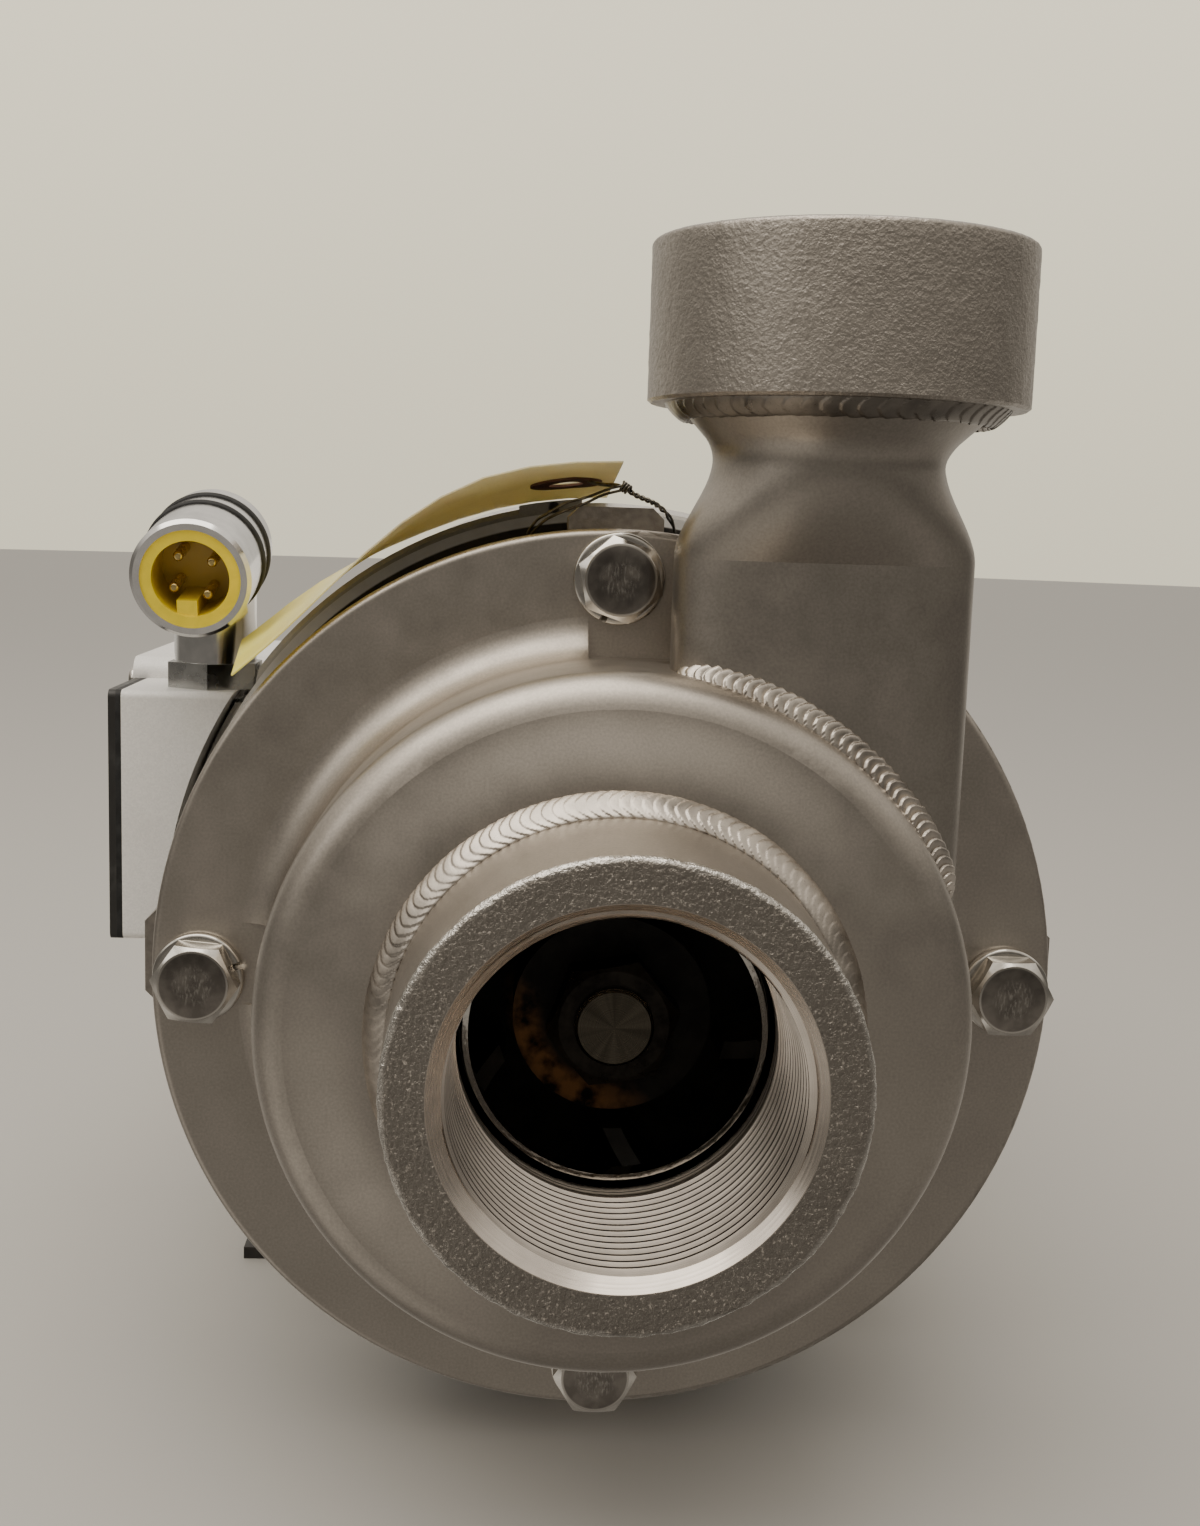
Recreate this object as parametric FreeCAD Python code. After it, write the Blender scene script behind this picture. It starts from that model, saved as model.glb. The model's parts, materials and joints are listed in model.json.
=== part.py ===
import FreeCAD
import Part
import math
import os
from FreeCAD import Vector

# Centrifugal pump, close-coupled to a foot-mounted motor. Sizes are in millimetres.
# It is drawn about the pump axis, which lies along Y with the suction side towards -Y:
# y is 0 on the front of the casing flange and X is to the right, towards the discharge.
# save() moves it to its own frame: origin on the standing surface, at the middle of the feet.

os.makedirs("parts", exist_ok=True)

# The pump axis stands above the feet by the motor's radius and the base plate's thickness
MOTOR_R = 92.3
BASE_THICK = 2.95
SHAFT_HEIGHT = MOTOR_R + BASE_THICK
FEET_Y = 140.0

# Clearances
RUNNING = 0.04
SEAT = 0.0

# Casing: a drawn drum with a bolting flange
FLANGE_THICK = 5.0
DRUM_R = 63.5
DRUM_DEPTH = 37.0
DRUM_WALL = 3.2
SHOULDER_R = 6.0
FILLET_R = 7.5
EYE_HOLE_R = 28.0
SPOT_WIDTH = 16.0
SPOT_OFFSET = 2.5

# Flange bolts, and what is sized from their circle
BOLT_CIRCLE_R = DRUM_R + 14.5
FLANGE_R = BOLT_CIRCLE_R + 9.25
PLATE_R = BOLT_CIRCLE_R + 7.0
ADAPTER_RING_R = BOLT_CIRCLE_R + 4.0
LUG_R = BOLT_CIRCLE_R + 13.3
BOLT_R = 4.7
BOLT_HOLE_R = 5.2
BOLT_TAPPED_R = BOLT_R + 0.05
HEAD_FLATS = 14.3
HEAD_THICK = 5.4
WASHER_R = 8.65
WASHER_THICK = 2.2

# Suction fitting
SUCTION_R = 39.5
SUCTION_FACE = 69.0
SUCTION_BORE_R = 28.6
SUCTION_CHAMFER_R = 31.5
SUCTION_THREAD = 25.4
SUCTION_RECESS_R = 30.2

# Discharge: a tube pressed flat where it joins the drum, with a fitting on top
DISCHARGE_X = 36.2
DISCHARGE_Y = -18.0
NECK_X = 35.2
NECK_R = 20.4
NECK_HALF_WIDTH = 26.6
NECK_HALF_THICK = 13.0
NECK_SQUARENESS = 2.8
NECK_WALL = 2.3
NECK_CREASE_Z = 82.7
NECK_WAIST_Z = 100.0
NECK_TOP_Z = 109.5
NECK_MOUTH_R = 27.8
DISCHARGE_R = 33.3
DISCHARGE_HEIGHT = 27.5
DISCHARGE_BORE_R = 22.6
DISCHARGE_CHAMFER_R = 25.2

# Seal plate, adapter and lugs
GASKET_THICK = 1.0
PLATE_THICK = 8.0
LUG_WIDTH = 18.6
LUG_THICK = 13.0
ADAPTER_RING_THICK = 8.0
BARREL_R = 66.0
BARREL_WALL = 6.0
ADAPTER_FOOT_R = MOTOR_R - 1.8
ADAPTER_FOOT_THICK = 6.0
MOTOR_FACE = 50.0
RABBET_R = 57.15
FACE_BOLT_R = BARREL_R + 8.6

# Impeller
IMPELLER_R = 54.0
EYE_R = 25.8
EYE_LIP_R = 26.8
HUB_R = 18.0
VANE_COUNT = 5
VANE_THICK = 3.0

# Shaft, from the impeller end to the fan end
THREAD_R = 7.1
STUB_R = 8.0
COLLAR_R = 11.0
FRONT_SEAT_R = 12.5
ROTOR_SEAT_R = 15.0
REAR_SHAFT_R = 12.0
REAR_SEAT_R = 8.5
FRONT_BEARING_WIDTH = 15.0
REAR_BEARING_WIDTH = 12.0
SHAFT_TIP = -30.0
NUT_SEAT = -21.0
NUT_FLATS = 21.0

# Motor
FRAME_WALL = 4.0
BELL_END = 76.0
FRAME_END = 226.0
CORE_START = BELL_END + 34.0
CORE_END = FRAME_END - 36.0
ROTOR_R = 49.5
AIR_GAP = 0.5
SLOT_COUNT = 24
FAN_R = 72.0
COVER_WALL = 1.2
COVER_END = FRAME_END + 65.0

# Mounting base
BASE_HALF_WIDTH = 82.5
BASE_FRONT = 84.0
WEB_X = 46.0
WEB_THICK = 3.2
FOOT_SPACING_X = 123.8
FOOT_SPACING_Y = 76.2
SLOT_HALF_WIDTH = 4.35
SLOT_LENGTH = 16.0

# Junction box on the left, with a terminal box behind it
BOX_OVERHANG = 9.7
BOX_LEFT = -MOTOR_R - BOX_OVERHANG
BOX_FRONT = 42.0
BOX_REAR = 70.0
BOX_LOW = -4.0
BOX_TOP = 50.0
BOX_WALL = 2.5
BOX_GASKET = 1.2
BOX_COVER = 1.5
TERMINAL_LEFT = BOX_LEFT - 2.0
TERMINAL_REAR = 134.0
TERMINAL_LOW = -9.0
TERMINAL_TOP = 54.5

# Elbow connector on the junction box
STEM_X = BOX_LEFT + 17.5
STEM_FOOT_R = 6.0
STEM_Y = (BOX_FRONT + BOX_REAR) / 2
STEM_NUT_FLATS = 18.6
CONNECTOR_R = 12.2
CONNECTOR_LENGTH = 33.0
CONNECTOR_TILT = 12.0
MOUTH_Y = STEM_Y - 30.0
MOUTH_Z = BOX_TOP + 24.3
INSERT_R = 10.1
CAVITY_R = 7.8
CAVITY_DEPTH = 12.0
PIN_CIRCLE_R = 4.8
PIN_R = 1.05

# Hang tag
TAG_THICK = 0.35
TAG_NEAR = -2.0
TAG_FAR = 54.0
EYELET_R = 7.2
EYELET_HOLE_R = 3.4
EYELET_X = -9.7
EYELET_Y = 25.0
WIRE_R = 0.45

AXIS_Y = Vector(0, 1, 0)
AXIS_Z = Vector(0, 0, 1)
ORIGIN = Vector(0, 0, 0)


def save(name, shape):
    placed = shape.copy()
    placed.translate(Vector(0, -FEET_Y, SHAFT_HEIGHT))
    placed.exportStep("parts/" + name + ".step")


def lathe(points, axis=AXIS_Y, centre=ORIGIN):
    """Turns a closed outline of (radius, height) points; a point with four numbers ends an arc."""
    if axis.y:
        place = [[Vector(p[i], p[i + 1], 0) for i in range(0, len(p), 2)] for p in points]
    else:
        place = [[Vector(p[i], 0, p[i + 1]) for i in range(0, len(p), 2)] for p in points]
    edges = []
    here = place[0][-1]
    for step in place[1:] + [place[0][-1:]]:
        if len(step) == 2:
            edges.append(Part.Arc(here, step[0], step[1]).toShape())
        elif here.distanceToPoint(step[0]) > 1e-6:
            edges.append(Part.makeLine(here, step[0]))
        here = step[-1]
    face = Part.Face(Part.Wire(edges))
    solid = face.revolve(ORIGIN, axis, 360)
    solid.translate(centre)
    return solid


def ring(inner, outer, start, end):
    """A plain ring about the pump axis, or a disc when the inner radius is 0."""
    disc = Part.makeCylinder(outer, end - start, Vector(0, start, 0), AXIS_Y)
    if inner:
        disc = disc.cut(Part.makeCylinder(inner, end - start, Vector(0, start, 0), AXIS_Y))
    return disc


def box(x0, x1, y0, y1, z0, z1):
    return Part.makeBox(x1 - x0, y1 - y0, z1 - z0, Vector(x0, y0, z0))


def rounded_box(x0, x1, y0, y1, z0, z1, radius, direction):
    """A box with the four edges along one direction rounded."""
    solid = box(x0, x1, y0, y1, z0, z1)
    edges = []
    for edge in solid.Edges:
        if abs(edge.tangentAt(edge.FirstParameter).dot(direction)) > 0.9:
            edges.append(edge)
    return solid.makeFillet(radius, edges)


def along_y(radius, start, end, x=0.0, z=0.0):
    return Part.makeCylinder(radius, end - start, Vector(x, start, z), AXIS_Y)


def turned(shape, degrees):
    """A copy turned about the pump axis; 90 degrees takes +X to +Z."""
    copy = shape.copy()
    copy.rotate(ORIGIN, AXIS_Y, -degrees)
    return copy


def around(shape, count, first=0.0):
    return [turned(shape, first + 360.0 * i / count) for i in range(count)]


def fuse(shapes):
    return shapes[0].multiFuse(shapes[1:]).removeSplitter()


def cut(shape, tools):
    for tool in tools:
        shape = shape.cut(tool)
    return shape


def hexagon(flats, start, end, x=0.0, z=0.0, turn=0.0):
    """A hexagonal prism along Y with its front corners taken off."""
    corner = flats / math.sqrt(3)
    points = []
    for i in range(7):
        angle = math.radians(60 * i + turn)
        points.append(Vector(corner * math.cos(angle), start, corner * math.sin(angle)))
    prism = Part.Face(Part.makePolygon(points)).extrude(Vector(0, end - start, 0))
    flat = 0.47 * flats
    rise = (corner - flat) * 0.5
    crown = lathe([(0, start), (flat, start), (corner, start + rise), (corner, end), (0, end)])
    prism = prism.common(crown)
    prism.translate(Vector(x, 0, z))
    return prism


# Casing

drum_inner = DRUM_R - DRUM_WALL
inner_face = -DRUM_DEPTH + DRUM_WALL
shoulder_centre = DRUM_R - SHOULDER_R
shoulder_mid = SHOULDER_R * math.sqrt(0.5)
inner_shoulder = SHOULDER_R - DRUM_WALL
inner_mid = inner_shoulder * math.sqrt(0.5)
fillet_mid = FILLET_R * (1 - math.sqrt(0.5))
casing_shell = lathe([
    (EYE_HOLE_R, -DRUM_DEPTH),
    (shoulder_centre, -DRUM_DEPTH),
    (shoulder_centre + shoulder_mid, -DRUM_DEPTH + SHOULDER_R - shoulder_mid,
     DRUM_R, -DRUM_DEPTH + SHOULDER_R),
    (DRUM_R, -FILLET_R),
    (DRUM_R + fillet_mid, -fillet_mid, DRUM_R + FILLET_R, 0),
    (FLANGE_R - 1.4, 0),
    (FLANGE_R - 0.4, 0.4, FLANGE_R, 1.4),
    (FLANGE_R, FLANGE_THICK - 0.8),
    (FLANGE_R - 0.8, FLANGE_THICK),
    (drum_inner, FLANGE_THICK),
    (drum_inner, inner_face + inner_shoulder),
    (drum_inner - inner_shoulder + inner_mid, inner_face + inner_shoulder - inner_mid,
     drum_inner - inner_shoulder, inner_face),
    (EYE_HOLE_R, inner_face),
])
envelope = lathe([
    (0, -DRUM_DEPTH),
    (shoulder_centre, -DRUM_DEPTH),
    (shoulder_centre + shoulder_mid, -DRUM_DEPTH + SHOULDER_R - shoulder_mid,
     DRUM_R, -DRUM_DEPTH + SHOULDER_R),
    (DRUM_R, -FILLET_R),
    (DRUM_R + fillet_mid, -fillet_mid, DRUM_R + FILLET_R, 0),
    (DRUM_R + FILLET_R + 30, 0),
    (DRUM_R + FILLET_R + 30, FLANGE_THICK),
    (0, FLANGE_THICK),
])


# Discharge neck: sections change from a flattened tube at the crease to a round one at the waist

def neck_section(centre_x, z, half_width, thick_front, thick_side, power):
    """A closed section; its thickness at the middle of the front may differ from that at the corners."""
    points = []
    count = 32
    for i in range(count):
        angle = 2 * math.pi * i / count
        c = math.cos(angle)
        s = math.sin(angle)
        front = max(0.0, (abs(s) - 0.72) / 0.28)
        half_thick = thick_side + (thick_front - thick_side) * front * front * (3 - 2 * front)
        reach = (abs(c) ** power + abs(s) ** power) ** (-1 / power)
        points.append(Vector(centre_x + reach * half_width * c, DISCHARGE_Y + reach * half_thick * s, z))
    steps = [i / count for i in range(count + 1)]
    curve = Part.BSplineCurve()
    curve.interpolate(Points=points, PeriodicFlag=True, Parameters=steps)
    return Part.Wire(curve.toShape())


def neck_solid(inset):
    """The neck above the crease, where its flat front starts to swell at once but its corners do so
    gently, and the straight length below it."""
    waist = NECK_R - inset
    wide = NECK_HALF_WIDTH - inset
    thick = NECK_HALF_THICK - inset
    sections = []
    steps = 6
    for i in range(steps + 1):
        t = i / steps
        z = NECK_CREASE_Z + t * (NECK_WAIST_Z - NECK_CREASE_Z)
        ease = t * t * (3 - 2 * t)
        rise = math.sin(0.5 * math.pi * t)
        half_width = wide + (waist - wide) * ease
        thick_front = thick + (waist - thick) * rise
        thick_side = thick + (waist - thick) * (0.35 * rise + 0.65 * ease)
        power = 2 + (NECK_SQUARENESS - 2) * (1 - ease)
        sections.append(neck_section(NECK_X, z, half_width, thick_front, thick_side, power))
    steps = 4
    for i in range(1, steps + 1):
        t = i / steps
        z = NECK_WAIST_Z + t * (NECK_TOP_Z - NECK_WAIST_Z)
        radius = waist + (NECK_MOUTH_R - NECK_R) * t * t * (2 - t)
        centre_x = NECK_X + t * (DISCHARGE_X - NECK_X)
        sections.append(neck_section(centre_x, z, radius, radius, radius, 2.0))
    upper = Part.makeLoft(sections, True, False, False, 2)
    lower = Part.Face(sections[0]).extrude(Vector(0, 0, -NECK_CREASE_Z))
    return upper, lower


neck_upper, neck_lower = neck_solid(0.0)
hollow_upper, hollow_lower = neck_solid(NECK_WALL)
passage_start = box(0, 90, -40, 10, 14, NECK_CREASE_Z + 1)
passage = hollow_upper.fuse(hollow_lower.common(passage_start))
neck_outer = neck_upper.fuse(neck_lower)
neck = neck_outer.cut(envelope).cut(passage).removeSplitter()
neck = max(neck.Solids, key=lambda solid: solid.Volume)

spot_faces = []
bolt_holes = []
for degrees in (0, 90, 180, 270):
    spot = box(DRUM_R - 0.3, DRUM_R + FILLET_R + 3, -FILLET_R - 1, 0,
               -SPOT_WIDTH / 2 - SPOT_OFFSET, SPOT_WIDTH / 2 - SPOT_OFFSET)
    spot_faces.append(turned(spot, degrees))
    bolt_holes.append(turned(along_y(BOLT_HOLE_R, -1, 30, BOLT_CIRCLE_R), degrees))
casing = cut(casing_shell, spot_faces + bolt_holes)
casing = casing.cut(hollow_lower.common(passage_start)).removeSplitter()
neck = cut(neck, spot_faces[1:2])
save("casing", casing)
save("discharge_neck", neck)

# Suction fitting and its weld bead

chamfer = SUCTION_CHAMFER_R - SUCTION_BORE_R
suction_fitting = lathe([
    (SUCTION_CHAMFER_R, -SUCTION_FACE),
    (SUCTION_R - 0.8, -SUCTION_FACE),
    (SUCTION_R, -SUCTION_FACE + 0.8),
    (SUCTION_R, -DRUM_DEPTH),
    (SUCTION_RECESS_R, -DRUM_DEPTH),
    (SUCTION_RECESS_R, -SUCTION_FACE + chamfer + SUCTION_THREAD),
    (SUCTION_BORE_R, -SUCTION_FACE + chamfer + SUCTION_THREAD),
    (SUCTION_BORE_R, -SUCTION_FACE + chamfer),
])
save("suction_fitting", suction_fitting)

bead_leg = 4.4
suction_weld = lathe([
    (SUCTION_R, -DRUM_DEPTH),
    (SUCTION_R, -DRUM_DEPTH - 0.85 * bead_leg),
    (SUCTION_R + 0.65 * bead_leg, -DRUM_DEPTH - 0.55 * bead_leg, SUCTION_R + bead_leg, -DRUM_DEPTH),
]).cut(casing)
save("suction_weld", suction_weld)

# Weld bead round the front of the neck, where it runs into the drum

WELD_R = 2.4
WELD_FIRST = 80.0
WELD_LAST = 23.0
weld_points = []
for i in range(9):
    angle = math.radians(WELD_FIRST + (WELD_LAST - WELD_FIRST) * i / 8)
    x = (DRUM_R + 0.7) * math.cos(angle)
    across = abs((x - NECK_X) / NECK_HALF_WIDTH) ** NECK_SQUARENESS
    front = DISCHARGE_Y - NECK_HALF_THICK * max(0.0, 1 - across) ** (1 / NECK_SQUARENESS)
    weld_points.append(Vector(x, front - 0.5, (DRUM_R + 0.7) * math.sin(angle)))
weld_curve = Part.BSplineCurve()
weld_curve.interpolate(weld_points)
weld_heading = weld_curve.tangent(weld_curve.FirstParameter)[0]
weld_circle = Part.Wire(Part.makeCircle(WELD_R, weld_points[0], weld_heading))
bead = Part.Wire(weld_curve.toShape()).makePipeShell([weld_circle], True, False)
neck_weld = bead.cut(envelope).cut(neck_outer)
neck_weld = max(neck_weld.Solids, key=lambda solid: solid.Volume)
save("neck_weld", neck_weld)

# Discharge fitting and its weld bead

discharge_top = NECK_TOP_Z + DISCHARGE_HEIGHT
lip = DISCHARGE_CHAMFER_R - DISCHARGE_BORE_R
discharge_centre = Vector(DISCHARGE_X, DISCHARGE_Y, 0)
discharge_fitting = lathe([
    (DISCHARGE_BORE_R, NECK_TOP_Z),
    (DISCHARGE_R - 1.6, NECK_TOP_Z),
    (DISCHARGE_R, NECK_TOP_Z + 1.4),
    (DISCHARGE_R, discharge_top - 0.8),
    (DISCHARGE_R - 0.8, discharge_top),
    (DISCHARGE_CHAMFER_R, discharge_top),
    (DISCHARGE_BORE_R, discharge_top - lip),
], AXIS_Z, discharge_centre)
save("discharge_fitting", discharge_fitting)

discharge_weld = lathe([
    (NECK_MOUTH_R - 5.0, NECK_TOP_Z),
    (NECK_MOUTH_R - 5.0, NECK_TOP_Z - 3.4),
    (NECK_MOUTH_R - 1.6, NECK_TOP_Z - 3.4),
    (NECK_MOUTH_R + 0.9, NECK_TOP_Z - 2.3, DISCHARGE_R - 2.4, NECK_TOP_Z),
], AXIS_Z, discharge_centre).cut(neck_upper)
discharge_weld = max(discharge_weld.Solids, key=lambda solid: solid.Volume)
save("discharge_weld", discharge_weld)

# Casing gasket and seal plate

plate_front = FLANGE_THICK + GASKET_THICK
plate_rear = plate_front + PLATE_THICK
gasket = cut(ring(drum_inner, PLATE_R - 1, FLANGE_THICK, plate_front), bolt_holes)
save("casing_gasket", gasket)

seat_pocket_r = 15.0
seat_floor = plate_rear
seal_plate = lathe([
    (STUB_R + 2.0, plate_rear + 6),
    (STUB_R + 2.0, plate_rear + 4),
    (seat_pocket_r, plate_rear + 4),
    (seat_pocket_r, plate_front - 1),
    (seat_pocket_r + 5, plate_front - 1),
    (seat_pocket_r + 6, plate_front),
    (PLATE_R, plate_front),
    (PLATE_R, plate_rear),
    (seat_pocket_r + 6, plate_rear),
    (seat_pocket_r + 4, plate_rear + 6),
])
seal_plate = cut(seal_plate, bolt_holes)
save("seal_plate", seal_plate)

# Adapter between the seal plate and the motor, with four lugs for the casing bolts

lug = box(ADAPTER_RING_R - 14, LUG_R, plate_rear, plate_rear + LUG_THICK, -LUG_WIDTH / 2, LUG_WIDTH / 2)
lug_corners = [e for e in lug.Edges if e.CenterOfMass.x > LUG_R - 0.1 and abs(e.CenterOfMass.z) > LUG_WIDTH / 2 - 0.1]
lug = lug.makeChamfer(2.2, lug_corners)
adapter_foot = MOTOR_FACE - ADAPTER_FOOT_THICK
adapter_body = fuse([
    ring(BARREL_R - BARREL_WALL, ADAPTER_RING_R, plate_rear, plate_rear + ADAPTER_RING_THICK),
    ring(BARREL_R - BARREL_WALL, BARREL_R, plate_rear, adapter_foot + 1),
    ring(RABBET_R, ADAPTER_FOOT_R, adapter_foot, MOTOR_FACE),
] + around(lug, 4))
tapped = [turned(along_y(BOLT_TAPPED_R, plate_rear, plate_rear + LUG_THICK, BOLT_CIRCLE_R), a) for a in (0, 90, 180, 270)]
face_holes = [turned(along_y(BOLT_HOLE_R, adapter_foot, MOTOR_FACE, FACE_BOLT_R), a) for a in (45, 135, 225, 315)]
window = box(BARREL_R - 20, BARREL_R + 6, plate_rear + LUG_THICK + 1, adapter_foot - 1.5, -22, 22)
adapter = cut(adapter_body, tapped + face_holes + [window, turned(window, 180)])
save("adapter", adapter)

# Flange bolts and their split washers, and the bolts into the motor face


def bolt(head_face, seat, tip, radius_at, flats, shank, turn):
    head = hexagon(flats, head_face, seat, radius_at, 0, turn)
    return head.fuse(along_y(shank, seat, tip, radius_at)).removeSplitter()


head_face = -WASHER_THICK - HEAD_THICK
bolt_tip = plate_rear + LUG_THICK - 1.0
casing_bolts = []
lock_washers = []
for degrees, turn in ((0, 0), (90, 0), (180, 22), (270, 30)):
    piece = bolt(head_face, -WASHER_THICK, bolt_tip, BOLT_CIRCLE_R, HEAD_FLATS, BOLT_R, turn)
    casing_bolts.append(turned(piece, degrees))
    washer = along_y(WASHER_R, -WASHER_THICK, 0, BOLT_CIRCLE_R)
    washer = washer.cut(along_y(BOLT_R + 0.2, -WASHER_THICK, 0, BOLT_CIRCLE_R))
    slit = box(BOLT_CIRCLE_R - 0.6, BOLT_CIRCLE_R + 0.6, -4, 1, -WASHER_R - 1, 0)
    slit.rotate(Vector(BOLT_CIRCLE_R, 0, 0), AXIS_Y, 47)
    lock_washers.append(turned(washer.cut(slit), degrees))
save("casing_bolts", Part.makeCompound(casing_bolts))
save("casing_lock_washers", Part.makeCompound(lock_washers))

face_bolt = bolt(adapter_foot - HEAD_THICK, adapter_foot, MOTOR_FACE + 12, FACE_BOLT_R, HEAD_FLATS, BOLT_R, 0)
save("adapter_bolts", Part.makeCompound(around(face_bolt, 4, 45)))

# Impeller: hub, back shroud, dished front shroud and curved vanes between them

hub_rear = -2.0
back_face = -8.0
impeller_hub = ring(STUB_R, HUB_R, NUT_SEAT, hub_rear)
back_shroud = ring(STUB_R, IMPELLER_R, back_face, back_face + 3.0)
front_shroud = lathe([
    (EYE_R, -33.2),
    (EYE_LIP_R, -33.2),
    (EYE_LIP_R, -29.5),
    (31.0, -26.6),
    (IMPELLER_R, -20.5),
    (IMPELLER_R, -18.0),
    (32.0, -23.8),
    (EYE_R + 1.0, -26.8),
    (EYE_R, -29.5),
])
vane_room = lathe([
    (HUB_R + 3, back_face),
    (HUB_R + 3, -23.0),
    (EYE_R + 1.0, -26.9),
    (32.0, -23.9),
    (IMPELLER_R - 0.2, -18.1),
    (IMPELLER_R - 0.2, back_face),
])
vane_radius = 34.0
vane_centre = Vector(20.0, -32.0, 24.0)
vane_sweep = Part.makeCylinder(vane_radius + VANE_THICK / 2, 30, vane_centre, AXIS_Y)
vane_sweep = vane_sweep.cut(Part.makeCylinder(vane_radius - VANE_THICK / 2, 30, vane_centre, AXIS_Y))
vane_side = box(-2, 60, -40, 0, -60, 8).cut(box(-2, 20, -40, 0, 3, 10))
vane = vane_sweep.common(vane_room).common(vane_side)
vane = max(vane.Solids, key=lambda solid: solid.Volume)
impeller = fuse([impeller_hub, back_shroud, front_shroud] + around(vane, VANE_COUNT, 12))
key_half = 2.4
key_slot = box(STUB_R - 3.0, STUB_R + 2.2, NUT_SEAT - 1, hub_rear + 1, -key_half, key_half)
impeller = impeller.cut(key_slot)
save("impeller", impeller)

impeller_key = box(STUB_R - 2.4, STUB_R + 2.0, NUT_SEAT + 2, hub_rear - 1, -key_half, key_half)
save("impeller_key", impeller_key)

nut_face = -28.4
impeller_nut = hexagon(NUT_FLATS, nut_face, NUT_SEAT, 0, 0, 10).cut(along_y(THREAD_R, nut_face, NUT_SEAT))
save("impeller_nut", impeller_nut)

# Mechanical seal: the seat is held in the plate, the rest turns with the shaft

seat_front = plate_front - 1.5
seal_cup = ring(seat_pocket_r - 1.5, seat_pocket_r, plate_front - 1, plate_rear + 4)
save("seal_cup", seal_cup)
seal_seat = ring(STUB_R + 1.2, seat_pocket_r - 1.5, seat_front, plate_rear + 4)
save("seal_seat", seal_seat)
seal_face = ring(STUB_R + RUNNING, 13.0, seat_front - 2.6, seat_front - 0.05)
save("seal_face", seal_face)
seal_retainer = lathe([
    (STUB_R, hub_rear),
    (14.2, hub_rear),
    (14.2, hub_rear + 1.0),
    (STUB_R + 1.5, hub_rear + 1.0),
    (STUB_R + 1.5, seat_front - 2.6),
    (STUB_R, seat_front - 2.6),
])
save("seal_retainer", seal_retainer)

bellows_start = hub_rear + 1.0
bellows_end = seat_front - 2.6
bellows_fold = (bellows_end - bellows_start) / 4
bellows_wall = 1.2
bellows_crest = 13.4
bellows_root = 11.6
outside = []
inside = []
for i in range(5):
    r = bellows_crest if i % 2 else bellows_root
    outside.append((r, bellows_start + i * bellows_fold))
    inside.append((r - bellows_wall, bellows_start + i * bellows_fold))
seal_bellows = lathe(outside + inside[::-1])
save("seal_bellows", seal_bellows)

slinger = lathe([
    (STUB_R, 26.0),
    (STUB_R + 3.0, 26.0),
    (18.0, 28.0),
    (18.0, 29.2),
    (STUB_R + 3.0, 29.6),
    (STUB_R, 29.6),
])
save("shaft_slinger", slinger)

# Shaft and rotor

front_seat_start = MOTOR_FACE + 6
rear_seat_start = FRAME_END + 4
fan_back = COVER_END - 19
shaft_steps = [
    (0, SHAFT_TIP),
    (THREAD_R - 0.6, SHAFT_TIP),
    (THREAD_R, SHAFT_TIP + 0.6),
    (THREAD_R, NUT_SEAT),
    (STUB_R, NUT_SEAT),
    (STUB_R, MOTOR_FACE - 9),
    (COLLAR_R, MOTOR_FACE - 9),
    (COLLAR_R, front_seat_start),
    (FRONT_SEAT_R, front_seat_start),
    (FRONT_SEAT_R, front_seat_start + FRONT_BEARING_WIDTH),
    (ROTOR_SEAT_R, front_seat_start + FRONT_BEARING_WIDTH),
    (ROTOR_SEAT_R, CORE_END + 4),
    (REAR_SHAFT_R, CORE_END + 4),
    (REAR_SHAFT_R, rear_seat_start),
    (REAR_SEAT_R, rear_seat_start),
    (REAR_SEAT_R, fan_back + 4),
    (0, fan_back + 4),
]
shaft = lathe(shaft_steps).cut(impeller_key)
save("motor_shaft", shaft)

rotor = fuse([
    ring(ROTOR_SEAT_R, ROTOR_R, CORE_START - 2, CORE_END + 2),
    ring(34.0, ROTOR_R - 1.5, CORE_START - 10, CORE_END + 2 + 8),
])
save("rotor_core", rotor)

# Stator with its slots, and the windings that fill them

stator_bore = ROTOR_R + AIR_GAP
stator_r = MOTOR_R - FRAME_WALL
stator = ring(stator_bore, stator_r, CORE_START, CORE_END)
slot = box(stator_bore + 2, stator_bore + 20, CORE_START - 1, CORE_END + 1, -3.4, 3.4)
through_r = stator_r - 3.1
through_bolt_r = 2.5
notch = along_y(through_bolt_r + 0.7, CORE_START - 1, CORE_END + 1, through_r)
stator = cut(stator, around(slot, SLOT_COUNT) + around(notch, 4, 20))
save("stator_core", stator)

turns_r = stator_r - 12.3
bar = box(stator_bore + 2.3, stator_bore + 19.7, CORE_START - 2, CORE_END + 2, -3.1, 3.1)
front_turns = ring(stator_bore + 2, turns_r, CORE_START - 14, CORE_START - 0.5)
rear_turns = ring(stator_bore + 2, turns_r, CORE_END + 0.5, CORE_END + 14)
windings = fuse([front_turns, rear_turns] + around(bar, SLOT_COUNT))
save("stator_windings", windings)

# Motor frame and end bells

frame_inner = MOTOR_R - FRAME_WALL
motor_frame = ring(frame_inner, MOTOR_R, BELL_END, FRAME_END)
save("motor_frame", motor_frame)

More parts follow.
